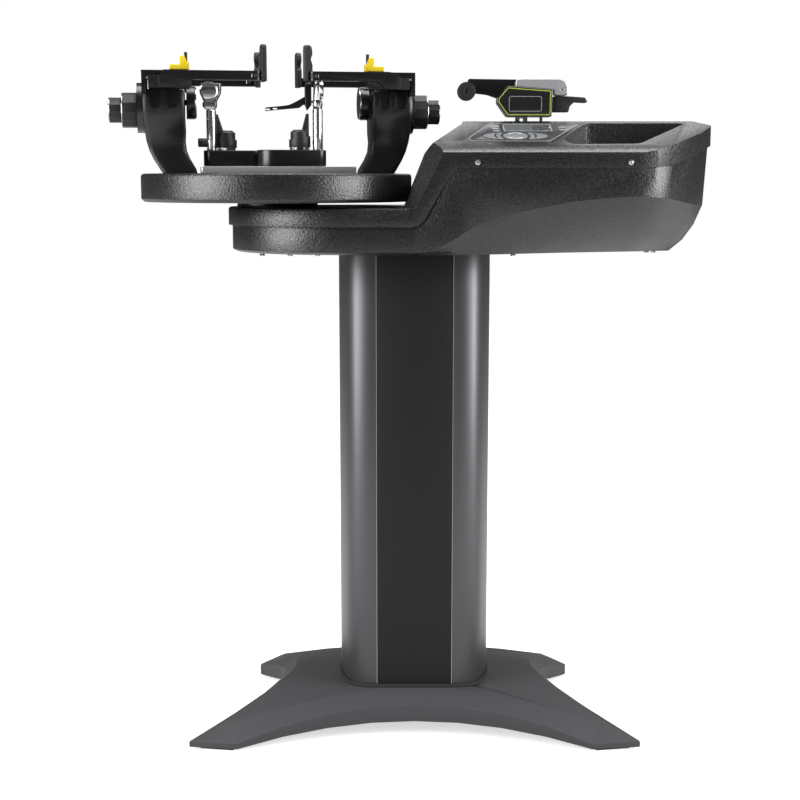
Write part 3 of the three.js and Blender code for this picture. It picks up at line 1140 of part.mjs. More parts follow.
function jawLeverGeometry() {
  const bottom = clampHeadZ + jaw.bottom;
  const jawShape = outline(shared(jawShares, jaw.back, jaw.front, bottom, clampHeadZ + jaw.top));
  const jawBody = alongY(jawShape, -jaw.halfDepth, jaw.halfDepth, softEdge);
  const bladeBox = [jaw.tail, jaw.front, clampHeadZ + jaw.bladeBottom, clampHeadZ + jaw.bladeTop];
  const blade = alongY(roundedOutline(shared(bladeShares, ...bladeBox)), -jaw.bladeHalf, jaw.bladeHalf);
  const slots = shared(bladeSlotShares, ...bladeBox).map(([x, z]) => alongY(rectangle(
    x - jaw.slotHalf, x + jaw.slotHalf, z - jaw.slotRadius, z + jaw.slotRadius, jaw.slotRadius), -overrun, overrun,
    0, 1));
  const hingeZ = clampHeadZ + jaw.hingeRise;
  const notchY = head.tongueHalf + fit;
  const notch = block(-head.tongueReach - 2 * fit, jaw.back + overrun, -notchY, notchY, hingeZ - jaw.notchHalf,
    hingeZ + jaw.notchHalf);
  return cut(joined(jawBody, cut(blade, ...slots)), notch);
}

function buildClamp(name) {
  const { pivotShare, postShare, postY, aside, headTurn, thumbTurn, finTurn } = clampPlaces[name];
  const [pivotX, pivotY] = [pivotShare * table.radius, -aside * glide.slotY];
  const postX = postShare * table.radius;
  const distance = Math.hypot(postX - pivotX, postY - pivotY);
  const slider = new THREE.Group();
  slider.position.set(pivotX, pivotY, 0);
  turntable.add(slider);
  addPart(slider, `clamp_slider_${name}`, clampSliderGeometry(), 'steel');
  const swing = new THREE.Group();
  swing.rotation.z = Math.atan2(postY - pivotY, postX - pivotX);
  slider.add(swing);
  addPart(swing, `clamp_arm_${name}`, clampArmGeometry(distance, aside), 'glossBlack');
  const knobGroup = new THREE.Group();
  knobGroup.position.set(distance * clamp.knobAlong, aside * clamp.knobAside, 0);
  swing.add(knobGroup);
  addPart(knobGroup, `clamp_knob_${name}`, clampKnobGeometry(finTurn), 'panelBlack');
  const postGroup = new THREE.Group();
  postGroup.position.set(postX, postY, 0);
  turntable.add(postGroup);
  addPart(postGroup, `clamp_post_${name}`, clampPostGeometry(thumbTurn), 'chrome');
  const headGroup = new THREE.Group();
  headGroup.rotation.z = headTurn * degree;
  postGroup.add(headGroup);
  addPart(headGroup, `clamp_head_${name}`, clampHeadGeometry(), 'motorGrey');
  addPart(headGroup, `clamp_jaw_${name}`, jawLeverGeometry(), 'panelBlack');
}

function buildTensionHead(parent) {
  const { left, right, front, back, radius, edge } = headBox;
  const bottom = ridgeZ + headBox.rise;
  const corners = shared(shellShares, left, right, bottom, bottom + headBox.height);
  addPart(parent, 'head_body', alongY(roundedOutline(corners.map((p) => [...p, radius])), front, back, edge), 'olive');
  const [crownRight, crownLeft] = [corners[3], corners[4]];
  const seat = (x) => crownLeft[1] + fit + ((x - crownLeft[0]) / (crownRight[0] - crownLeft[0]))
    * (crownRight[1] - crownLeft[1]);
  const { corner, slope } = cover;
  const [coverLeft, coverRight, tabLeft] = [left + cover.start, left + cover.end, left + cover.tabStart];
  const [coverTop, tabZ] = [ridgeZ + cover.rise, ridgeZ + cover.tabRise];
  const capShape = roundedOutline([
    [coverLeft, seat(coverLeft), corner], [tabLeft, seat(tabLeft), corner], [tabLeft, tabZ, corner],
    [coverRight, tabZ, corner], [coverRight, coverTop - slope, cover.radius],
    [coverRight - slope, coverTop, cover.radius], [coverLeft, coverTop, cover.radius]]);
  const hole = rodY(cover.holeRadius, cover.front - overrun, cover.back + overrun, 12)
    .translate(left + cover.holeStart, 0, ridgeZ + cover.holeRise);
  addPart(parent, 'head_cover', cut(alongY(capShape, cover.front, cover.back, softEdge), hole), 'steel');
  const gripShape = roundedOutline(shared(gripperShares, left + gripper.tip, left + gripper.heel,
    ridgeZ + gripper.bottomRise, ridgeZ + gripper.rise));
  const plate = alongY(gripShape, gripper.front, gripper.back);
  const [rollerX, rollerZ] = [left + roller.start, ridgeZ + roller.rise];
  const pin = rodY(roller.pin, roller.front, gripper.back - fit, 12).translate(rollerX, 0, rollerZ);
  const ear = rodY(roller.radius * roller.earShare, gripper.front, gripper.back).translate(rollerX, 0, rollerZ);
  addPart(parent, 'gripper_arm', joined(plate, pin, ear), 'panelBlack');
  const bore = roller.pin + fit;
  const wheel = new THREE.LatheGeometry([
    [bore, roller.front], [roller.radius, roller.front],
    [roller.radius - roller.groove, (roller.front + roller.back) / 2],
    [roller.radius, roller.back], [bore, roller.back], [bore, roller.front],
  ].map(([r, y]) => new THREE.Vector2(r, y)), 18).translate(rollerX, 0, rollerZ);
  addPart(parent, 'string_roller', wheel, 'panelBlack');
  const leverLeft = right + lever.gap;
  const leverBottom = ridgeZ + lever.rise;
  const leverCorners = shared(leverShares, leverLeft, left + lever.tail, leverBottom, leverBottom + lever.height);
  const handle = alongY(roundedOutline(leverCorners.map((p) => [...p, lever.radius])), lever.y - lever.halfDepth,
    lever.y + lever.halfDepth);
  addPart(parent, 'release_lever', handle, 'panelBlack');
  buildCarriage(parent);
}

function buildCarriage(parent) {
  const { archHalf, holeRadius, holeSink, root } = carriage;
  const { start, end, archStart, archEnd, postStart, postEnd } = carriage;
  const [left, right, archLeft, archRight, postLeft, postRight] = [start, end, archStart, archEnd, postStart, postEnd]
    .map((length) => headBox.left + length);
  const chamberTop = ridgeZ - rail.neckDepth;
  const chamberBottom = railZ + rail.floor;
  const [nutY, neckY] = [rail.slotHalf - fit, rail.neckHalf - fit];
  const nut = block(left, right, -nutY, nutY, chamberBottom + fit, chamberTop - fit);
  const neckBar = block(left, right, -neckY, neckY, chamberBottom + fit, ridgeZ);
  const headBottom = ridgeZ + headBox.rise - fit;
  const arch = block(archLeft, archRight, -archHalf, archHalf, ridgeZ - root, headBottom);
  const eye = rodY(holeRadius, -overrun, overrun, 12)
    .translate((archLeft + archRight) / 2, 0, ridgeZ + holeRadius - holeSink);
  const post = block(postLeft, postRight, -archHalf, archHalf, ridgeZ - root, headBottom);
  const bore = rodX(screw.bore, left - overrun, right + overrun, 12).translate(0, 0, screwZ);
  addPart(parent, 'tension_carriage', cut(joined(nut, neckBar, arch, post), bore, eye), 'steel');
}

const stand = new THREE.Group();
stand.position.x = column.x;
machine.add(stand, turntable);
buildFoot(stand);
buildColumn(stand);
buildTub(machine);
buildCover(machine);
buildPanel(machine);
buildDrive(machine);
buildInlet(machine);
buildHub(machine);
buildDisc();
buildGlide();
buildTower('left', towerPlaceShares.left * table.radius, boss.left);
buildTower('right', towerPlaceShares.right * table.radius, boss.right);
buildClamp('left');
buildClamp('right');
buildTensionHead(machine);

export default machine;
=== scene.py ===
import json
import math

import bmesh
import bpy
from bpy.props import FloatProperty, FloatVectorProperty, PointerProperty
from mathutils import Matrix, Vector

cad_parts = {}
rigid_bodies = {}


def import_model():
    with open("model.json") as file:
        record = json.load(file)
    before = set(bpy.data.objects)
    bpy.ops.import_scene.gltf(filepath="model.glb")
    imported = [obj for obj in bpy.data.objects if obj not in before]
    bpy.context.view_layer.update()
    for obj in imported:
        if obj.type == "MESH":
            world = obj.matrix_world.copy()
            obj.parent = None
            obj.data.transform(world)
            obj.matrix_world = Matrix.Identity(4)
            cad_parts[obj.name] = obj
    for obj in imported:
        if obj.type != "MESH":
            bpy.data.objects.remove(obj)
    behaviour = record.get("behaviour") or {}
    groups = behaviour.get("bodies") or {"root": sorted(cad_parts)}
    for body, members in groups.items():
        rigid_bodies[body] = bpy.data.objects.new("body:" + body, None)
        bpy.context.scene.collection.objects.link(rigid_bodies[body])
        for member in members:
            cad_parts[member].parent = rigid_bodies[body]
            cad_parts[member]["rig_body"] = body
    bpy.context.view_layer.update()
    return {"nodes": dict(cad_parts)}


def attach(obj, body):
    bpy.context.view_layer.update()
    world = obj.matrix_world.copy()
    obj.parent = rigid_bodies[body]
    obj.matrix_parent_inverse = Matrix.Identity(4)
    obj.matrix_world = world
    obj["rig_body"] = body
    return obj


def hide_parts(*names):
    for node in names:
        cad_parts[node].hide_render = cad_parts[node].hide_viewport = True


bl_info = {
    "name": "Racket Stringing Machine",
    "version": (1, 0, 0),
    "blender": (4, 5, 0),
    "location": "View3D > Sidebar > Stringer",
    "description": "Dresses the packed racket stringing machine with its finishes and small parts",
    "category": "Add Mesh",
}

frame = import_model()
MM = 0.001


def linear(hex_value):
    """An sRGB hex colour as linear red, green and blue."""
    channels = [((hex_value >> shift) & 255) / 255 for shift in (16, 8, 0)]
    return tuple(c / 12.92 if c <= 0.04045 else ((c + 0.055) / 1.055) ** 2.4 for c in channels)


def colour(label, hex_value):
    return FloatVectorProperty(name=label, description=f"Colour of the {label.lower()}",
                               subtype="COLOR", default=linear(hex_value), min=0, max=1)


def length(label, millimetres):
    return FloatProperty(name=label, description=f"{label}, in metres", unit="LENGTH",
                         default=millimetres * MM, min=0)


# Materials

# The part of a noise's range that is spread over the whole grain, for contrast
GRAIN_LOW, GRAIN_HIGH = 0.32, 0.68
# How much longer than wide a line of brushing is
BRUSH_STRETCH = 60


def add_node(tree, kind, settings=(), links=()):
    """Adds one node, with settings by attribute or input name, and links from other outputs."""
    made = tree.nodes.new(kind)
    for key, value in dict(settings).items():
        if isinstance(key, str) and hasattr(made, key):
            setattr(made, key, value)
        else:
            made.inputs[key].default_value = value
    for key, output in dict(links).items():
        tree.links.new(output, made.inputs[key])
    return made


def new_material(name, base, **sockets):
    """A Principled material with plain sockets; returns it with its tree and shader."""
    material = bpy.data.materials.new(name)
    material.use_nodes = True
    tree = material.node_tree
    shader = tree.nodes["Principled BSDF"]
    shader.inputs["Base Color"].default_value = (*base, 1)
    for key, value in sockets.items():
        shader.inputs[key.replace("_", " ").title().replace("Ior", "IOR")].default_value = value
    return material, tree, shader


def grained(material, tree, shader, grain_mm, height_mm, tint=0.0, rough=0.0, detail=2.0):
    """Adds a grain of a real size: bump, and a slight change of colour and roughness."""
    where = add_node(tree, "ShaderNodeTexCoord").outputs["Object"]
    noise = add_node(tree, "ShaderNodeTexNoise",
                     {"Scale": 1 / (grain_mm * MM), "Detail": detail, "Roughness": 0.55},
                     {"Vector": where})
    grain = add_node(tree, "ShaderNodeMapRange", {"From Min": GRAIN_LOW, "From Max": GRAIN_HIGH},
                     {"Value": noise.outputs["Fac"]}).outputs["Result"]
    bump = add_node(tree, "ShaderNodeBump", {"Distance": height_mm * MM, "Strength": 1.0},
                    {"Height": grain})
    tree.links.new(bump.outputs["Normal"], shader.inputs["Normal"])
    if tint:
        base = shader.inputs["Base Color"].default_value[:]
        dark = tuple(c * (1 - tint) for c in base[:3]) + (1,)
        light = tuple(min(1, c * (1 + tint)) for c in base[:3]) + (1,)
        mix = add_node(tree, "ShaderNodeMix", {"data_type": "RGBA", 6: dark, 7: light}, {0: grain})
        tree.links.new(mix.outputs[2], shader.inputs["Base Color"])
    if rough:
        middle = shader.inputs["Roughness"].default_value
        spread = add_node(tree, "ShaderNodeMapRange",
                          {"To Min": middle - rough, "To Max": middle + rough}, {"Value": grain})
        tree.links.new(spread.outputs["Result"], shader.inputs["Roughness"])
    return material


def brushed(material, tree, shader, axis, line_mm, height_mm):
    """Adds brushing along an axis of the row frame, drawn coarser than life so that it shows."""
    where = add_node(tree, "ShaderNodeTexCoord").outputs["Object"]
    scale = [1 / (line_mm * MM)] * 3
    scale[axis] = 1 / (line_mm * MM * BRUSH_STRETCH)
    mapping = add_node(tree, "ShaderNodeMapping", {"Scale": scale}, {"Vector": where})
    noise = add_node(tree, "ShaderNodeTexNoise", {"Scale": 1.0, "Detail": 2.0},
                     {"Vector": mapping.outputs["Vector"]})
    bump = add_node(tree, "ShaderNodeBump", {"Distance": height_mm * MM, "Strength": 1.0},
                    {"Height": noise.outputs["Fac"]})
    tree.links.new(bump.outputs["Normal"], shader.inputs["Normal"])
    return material


def make_materials(look):
    """Every finish of the machine, by a short key."""
    made = {}
    # Powder-coated cast iron: matt, with the fine orange peel of baked powder.
    made["foot"] = grained(
        *new_material("powder_coated_casting", look.foot, roughness=0.6, specular_ior_level=0.2),
        1.6, 0.05, tint=0.06, rough=0.05)
    # Metallic satin coat on an aluminium extrusion: even, with long soft reflections.
    made["column"] = grained(
        *new_material("satin_coated_aluminium", look.column, roughness=0.4, metallic=0.7),
        1.0, 0.012, tint=0.04)
    # Matt black film laid on the column's flat front.
    made["film"] = grained(
        *new_material("matt_black_film", look.film, roughness=0.5, specular_ior_level=0.2),
        3.0, 0.01, tint=0.05)
    # Spark-eroded ABS: a leather-like grain that glitters, drawn at 2.6 mm so that it shows.
    made["textured"] = grained(
        *new_material("spark_eroded_abs", look.textured, roughness=0.31),
        2.6, 0.24, tint=0.35, rough=0.05, detail=1.0)
    # Gloss black enamel on castings: deep, with a slight waviness.
    made["enamel"] = grained(
        *new_material("gloss_black_enamel", look.enamel, roughness=0.26, specular_ior_level=0.42),
        9.0, 0.03)
    # Moulded nylon for knobs and shoulder plates: dark and a little waxy.
    made["nylon"] = grained(
        *new_material("moulded_nylon", look.nylon, roughness=0.5, specular_ior_level=0.35),
        1.2, 0.02, rough=0.04)
    # Polished ABS of the tension head's body and of the power rocker.
    made["polished_abs"] = grained(
        *new_material("polished_abs", look.nylon, roughness=0.12, coat_weight=0.5), 12.0, 0.02)
    # Printed polycarbonate film over the control panel.
    made["panel"] = grained(
        *new_material("printed_polycarbonate", look.panel, roughness=0.3), 1.0, 0.008)
    # Silicone keys, and the screen print beside them.
    made["key"] = grained(
        *new_material("silicone_key", look.key, roughness=0.55), 0.8, 0.01, tint=0.04)
    made["mark"] = grained(*new_material("screen_print", look.mark, roughness=0.5), 0.8, 0.004)
    # Smoked acrylic over a dull liquid-crystal display.
    made["display"] = grained(
        *new_material("smoked_acrylic", look.display, roughness=0.16, coat_weight=0.6),
        5.0, 0.003)
    made["lit_glass"] = grained(
        *new_material("display_glass", look.lit_glass, roughness=0.2), 5.0, 0.003)
    # Moulded rubber of the foot pads and the column's gasket.
    made["rubber"] = grained(
        *new_material("moulded_rubber", look.rubber, roughness=0.8), 1.5, 0.03, tint=0.1)
    # Bare and plated metals, the flat ones brushed along X.
    made["steel"] = brushed(
        *new_material("ground_steel", look.steel, metallic=1.0, roughness=0.3), 0, 0.5, 0.006)
    made["screw"] = grained(
        *new_material("nickel_plated_steel", look.nickel, metallic=1.0, roughness=0.22),
        2.0, 0.004)
    made["chrome"] = grained(
        *new_material("hard_chrome", look.chrome, metallic=1.0, roughness=0.16), 6.0, 0.002)
    made["anodised"] = brushed(
        *new_material("clear_anodised_aluminium", look.anodised, metallic=0.65, roughness=0.26),
        0, 0.6, 0.008)
    made["cast"] = grained(
        *new_material("die_cast_zinc", look.steel, metallic=1.0, roughness=0.5),
        1.5, 0.05, tint=0.1)
    made["head_silver"] = brushed(
        *new_material("satin_aluminium", look.head_silver, metallic=0.6, roughness=0.32),
        0, 0.5, 0.006)
    # Bright printed and inlaid lines, and a painted highlight: the silver line round the control
    # panel's recess stands in for the light that its edges catch.
    made["trim_and_painted_highlight"] = grained(
        *new_material("silver_trim_and_painted_highlight", look.trim_and_painted_highlight, metallic=0.6, roughness=0.35), 2.0, 0.004)
    made["olive"] = grained(
        *new_material("olive_trim_plastic", look.olive, roughness=0.35), 1.0, 0.01)
    # Moulded yellow nylon: a little light passes into it.
    made["yellow"] = grained(
        *new_material("yellow_nylon", look.yellow, roughness=0.38, subsurface_weight=0.15,
                      subsurface_scale=0.002),
        1.0, 0.015, tint=0.03)
    # Blackened steel of the turntable's hub, the clamp jaws and the gripper arm.
    made["blackened"] = grained(
        *new_material("blackened_steel", look.blackened, metallic=0.6, roughness=0.35),
        0.8, 0.01, rough=0.06)
    return made


MATERIALS = {}


# Mesh helpers


def join_flat_faces(bm):
    """Merges a CAD node's loose triangles and joins those that lie in one plane."""
    bmesh.ops.remove_doubles(bm, verts=bm.verts, dist=0.01 * MM)
    bmesh.ops.dissolve_limit(bm, angle_limit=math.radians(0.6), verts=bm.verts, edges=bm.edges,
                             delimit={"NORMAL"})


def round_off(bm, geom, offset, segments=2, affect="EDGES"):
    """Rounds edges or corners by an offset in millimetres."""
    bmesh.ops.bevel(bm, geom=geom, offset=offset * MM, offset_type="OFFSET", segments=segments,
                    profile=0.5, affect=affect, clamp_overlap=True, material=-1)


def dress(node, material, bevel=0.8, sharp=32, segments=2):
    """A copy of a CAD node that stands for it, with joined flat faces and rounded edges."""
    source = frame["nodes"][node]
    bm = bmesh.new()
    bm.from_mesh(source.data)
    join_flat_faces(bm)
    if bevel:
        edges = [e for e in bm.edges
                 if e.is_manifold and e.calc_face_angle(0) > math.radians(sharp)]
        round_off(bm, edges, bevel, segments)
    piece = piece_from(bm, node + "_skin", material, source["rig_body"],
                       sharp=sharp + 4)
    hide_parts(node)
    return piece


def piece_from(bm, name, material, body, sharp=40):
    """Turns a bmesh in the row frame into a finished piece that rides on a body."""
    mesh = bpy.data.meshes.new(name)
    bm.to_mesh(mesh)
    bm.free()
    for polygon in mesh.polygons:
        polygon.use_smooth = True
    mesh.set_sharp_from_angle(angle=math.radians(sharp))
    mesh.materials.append(MATERIALS[material])
    piece = bpy.data.objects.new(name, mesh)
    bpy.context.scene.collection.objects.link(piece)
    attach(piece, body)
    return piece


def turn_about(axis, point=(0, 0, 0)):
    """The matrix that takes +Z to an axis and the origin to a point, given in millimetres."""
    turn = Vector((0, 0, 1)).rotation_difference(Vector(axis).normalized()).to_matrix().to_4x4()
    return Matrix.Translation(Vector(point) * MM) @ turn


def add_disc(bm, place, radius, low, high, sides=32, bevel=0.3):
    """A short cylinder between two heights along a placed +Z, with rounded rims, in millimetres."""
    middle = Matrix.Translation((0, 0, (low + high) / 2 * MM))
    made = bmesh.ops.create_cone(bm, cap_ends=True, cap_tris=False, segments=sides,
                                 radius1=radius * MM, radius2=radius * MM,
                                 depth=(high - low) * MM, matrix=place @ middle)
    caps = {f for v in made["verts"] for f in v.link_faces if len(f.verts) > 4}
    rims = list({e for f in caps for e in f.edges})
    if bevel:
        round_off(bm, rims, bevel)


def add_ring(bm, place, radius, thickness, sides=48):
    """A round ring about a placed +Z, spun from a small circle, in millimetres."""
    upright = Matrix.Translation((radius * MM, 0, 0)) @ Matrix.Rotation(math.pi / 2, 4, "X")
    section = bmesh.ops.create_circle(bm, cap_ends=False, segments=8, radius=thickness * MM,
                                      matrix=place @ upright)["verts"]
    edges = list({e for v in section for e in v.link_edges})
    axis = place.to_3x3() @ Vector((0, 0, 1))
    bmesh.ops.spin(bm, geom=section + edges, cent=place.translation, axis=axis,
                   angle=2 * math.pi, steps=sides, use_merge=True, use_duplicate=False)


def add_plate(bm, place, size, corner, thickness, line=0):
    """A thin rounded plate on a placed X-Y plane, or with a line width only its rim, in mm."""
    own = bmesh.new()
    stretch = Matrix.Diagonal((size[0] * MM, size[1] * MM, 1, 1))
    bmesh.ops.create_grid(own, x_segments=1, y_segments=1, size=0.5, matrix=stretch)
    round_off(own, own.verts[:], corner, segments=4, affect="VERTICES")
    raise_outline(own, thickness, line)
    bmesh.ops.transform(own, matrix=place, verts=own.verts)
    merge_into(bm, own)


def raise_outline(own, thickness, line):
    """Gives a flat face a thickness along +Z; with a line width, only a rim of it is kept."""
    if line:
        inner = own.faces[:]
        bmesh.ops.inset_region(own, faces=inner, thickness=line * MM, use_boundary=True,
                               use_even_offset=True)
        bmesh.ops.delete(own, geom=inner, context="FACES")
    grown = bmesh.ops.extrude_face_region(own, geom=own.faces[:], use_keep_orig=True)["geom"]
    moved = [g for g in grown if isinstance(g, bmesh.types.BMVert)]
    bmesh.ops.translate(own, vec=(0, 0, thickness * MM), verts=moved)
    bmesh.ops.recalc_face_normals(own, faces=own.faces)


def merge_into(bm, own):
    """Adds one bmesh to another and frees it."""
    mesh = bpy.data.meshes.new("part")
    own.to_mesh(mesh)
    own.free()
    bm.from_mesh(mesh)
    bpy.data.meshes.remove(mesh)


def add_rim(bm, node, place, margin, line, thickness):
    """A raised line along the rim of a CAD node's largest face that looks along the placed +Z."""
    own = bmesh.new()
    own.from_mesh(frame["nodes"][node].data)
    bmesh.ops.transform(own, matrix=place.inverted(), verts=own.verts)
    join_flat_faces(own)
    largest = max((f for f in own.faces if f.normal.z > 0.99), key=lambda f: f.calc_area())
    level = largest.calc_center_median().z
    apart = [f for f in own.faces
             if f.normal.z < 0.99 or abs(f.calc_center_median().z - level) > 0.1 * MM]
    bmesh.ops.delete(own, geom=apart, context="FACES")
    fill_outline(own)
    outer = bmesh.ops.inset_region(own, faces=own.faces[:], thickness=margin * MM,
                                   use_boundary=True, use_even_offset=True)["faces"]
    bmesh.ops.delete(own, geom=outer, context="FACES")
    raise_outline(own, thickness, line)
    bmesh.ops.transform(own, matrix=place, verts=own.verts)
    merge_into(bm, own)


def fill_outline(own):
    """Leaves one face, inside the longest open edge loop of a flat mesh."""
    rims = {e for e in own.edges if e.is_boundary}
    loops = []
    while rims:
        loop, queue = set(), [rims.pop()]
        while queue:
            edge = queue.pop()
            loop.add(edge)
            found = {e for v in edge.verts for e in v.link_edges if e in rims}
            rims -= found
            queue += found
        loops.append(loop)
    outline = max(loops, key=lambda loop: sum(e.calc_length() for e in loop))
    bmesh.ops.delete(own, geom=own.faces[:], context="FACES_ONLY")
    bmesh.ops.delete(own, geom=[e for e in own.edges if e not in outline], context="EDGES")
    bmesh.ops.edgeloop_fill(own, edges=own.edges[:])
    for face in own.faces:
        if face.normal.z < 0:
            face.normal_flip()


def add_arc(bm, place, radius, wide, high, angle):
    """A flat arc centred on a placed +X, spun from a small rectangle, in millimetres."""
    start = place @ Matrix.Rotation(-angle / 2, 4, "Z")
    upright = Matrix.Translation((radius * MM, 0, high / 2 * MM)) @ Matrix.Rotation(
        math.pi / 2, 4, "X")
    stretch = Matrix.Diagonal((wide * MM, high * MM, 1, 1))
    section = bmesh.ops.create_grid(bm, x_segments=1, y_segments=1, size=0.5,
                                    matrix=start @ upright @ stretch)["verts"]
    face = section[0].link_faces[0]
    axis = place.to_3x3() @ Vector((0, 0, 1))
    bmesh.ops.spin(bm, geom=[face, *face.verts, *face.edges], cent=place.translation, axis=axis,
                   angle=angle, steps=16, use_merge=False, use_duplicate=False)
    bmesh.ops.recalc_face_normals(bm, faces=bm.faces)


def add_screw(bm, place, radius, height):
    """A pan head with a recess ring, standing on a placed X-Y plane."""
    add_disc(bm, place, radius, 0, height, sides=20, bevel=height * 0.45)
    top = place @ Matrix.Translation((0, 0, height * MM))
    add_ring(bm, top, radius * 0.42, radius * 0.1, sides=16)


def repaint(piece, material, chosen):
    """Gives the faces whose centres, in millimetres, pass a test another finish."""
    piece.data.materials.append(MATERIALS[material])
    for polygon in piece.data.polygons:
        if chosen(polygon.center / MM):
            polygon.material_index = len(piece.data.materials) - 1


# Places, in millimetres

FRONT, REAR, DOWN = (0, -1, 0), (0, 1, 0), (0, 0, -1)
OUTWARD = {"left": -1, "right": 1}

# The column's axis, and the lines along both edges of its film
COLUMN_X = 7
TRIM_ASIDE, TRIM_Y, TRIM_Z, TRIM_SIZE = 60.7, -89.6, 424, (0.7, 700)

# The pan heads on the housing's walls, and rows of bolts under it by their y
WALL_SCREW_XS, WALL_Y, WALL_SCREW_Z = (99, 326), 179.8, 916
BOLT_ROWS = ((-100, (-230, -187, -144, 159)), (0, (-240, -195, -149, 167, 383, 394)))
BELLY_Z = 778.4

# The sloping top's frame, and what lies on it as x and drop from the ridge
SLOPE = Matrix.Translation(Vector((0, -24, 982)) * MM) @ Matrix.Rotation(
    math.atan2(49, 156), 4, "X")
LAMP_MARKS = ((133, (30, 43, 56)), (236, (36, 50)))
DISPLAY_OUTLINE, DISPLAY_FIELD, KEY_CENTRE = (182, 39), (168.5, 39), (160.5, 85)

# The turntable's own frame, and places in it
TABLE_X, TABLE_TURN = -213.8, math.radians(8.5)
TOWER_X = {"left": 179.5, "right": 185.0}
KNOB_ENDS = {"left": (63.0, 83.6), "right": (57.3, 77.9)}
KNOB_Z, WHEEL_Z = 998.5, 1011
PAD_PIN_OUT, PAD_PIN_Z, PAD_PIN_RADIUS = -38, 1070, 2.7
POSTS = {"left": (-103.3, 14), "right": (62.7, -36)}
POST_RADIUS, POST_COLLAR_Z, LOCK_STUD_Z = 8.4, 957, 941.4

# The tension head's front, and the frame line on it
HEAD_FRONT_Y = -22
HEAD_FRAME, HEAD_FRAME_SIZE = (182, -21.9, 1009), (52, 24)


def on_table(x, y, z):
    """A point of the turntable's own frame, in the row frame."""
    c, s = math.cos(TABLE_TURN), math.sin(TABLE_TURN)
    return Vector((TABLE_X + c * x - s * y, s * x + c * y, z))


def at_tower(side, out, across, z):
    """A point of a tower's own frame, whose first number runs outwards, in the row frame."""
    sign = OUTWARD[side]
    return on_table(sign * (TOWER_X[side] + out), sign * across, z)


def outward(side):
    return (on_table(OUTWARD[side], 0, 0) - on_table(0, 0, 0)).normalized()


def flat_distance(a, b):
    return math.hypot(a[0] - b[0], a[1] - b[1])


def on_slope(x, drop, rise=0):
    """A place on the sloping top, from the ridge down."""
    return SLOPE @ Matrix.Translation(Vector((x, -drop, rise)) * MM)


# Stage

# Name, place, aim, width and height in metres, and power in watts
LAMPS = (
    ("overhead_softbox", (0.0, 0.15, 3.3), (0.0, 0.0, 0.6), 3.4, 1.6, 140),
    ("left_softbox", (-2.3, -1.35, 1.3), (-0.1, 0.0, 0.75), 1.7, 2.0, 120),
    ("right_softbox", (2.5, -1.1, 1.3), (0.1, 0.0, 0.75), 1.5, 2.0, 120),
    ("rear_softbox", (0.4, 2.6, 2.2), (0.0, 0.0, 0.8), 2.2, 1.2, 14),
)
# The floor's glow to the camera, from near the foot to far off, and its share in reflections
GLOW_NEAR, GLOW_FAR = (0.5, 0.62), (2.2, 1.0)
FLOOR_REFLECTED = 0.25
# The surround's share for each kind of ray besides the camera's
SURROUND_SHARES = (("Is Transmission Ray", 1.0), ("Is Diffuse Ray", 0.12),
                   ("Is Glossy Ray", 0.12))


class StageSettings(bpy.types.PropertyGroup):
    """The photograph's frame and its floor."""

    camera_distance: length("Camera distance", 2322)
    camera_height: length("Camera height", 890)
    camera_side: FloatProperty(name="Camera side", description="Sideways place of the camera",
                               unit="LENGTH", default=-16.3 * MM)
    camera_tilt: FloatProperty(name="Camera tilt", description="Downward tilt of the camera",
                               subtype="ANGLE", default=math.radians(8.77))
    lens: FloatProperty(name="Lens", description="Focal length in millimetres", default=64.17,
                        min=10)
    floor_radius: length("Floor radius", 9000)
    floor: colour("Floor", 0xC8C8C8)


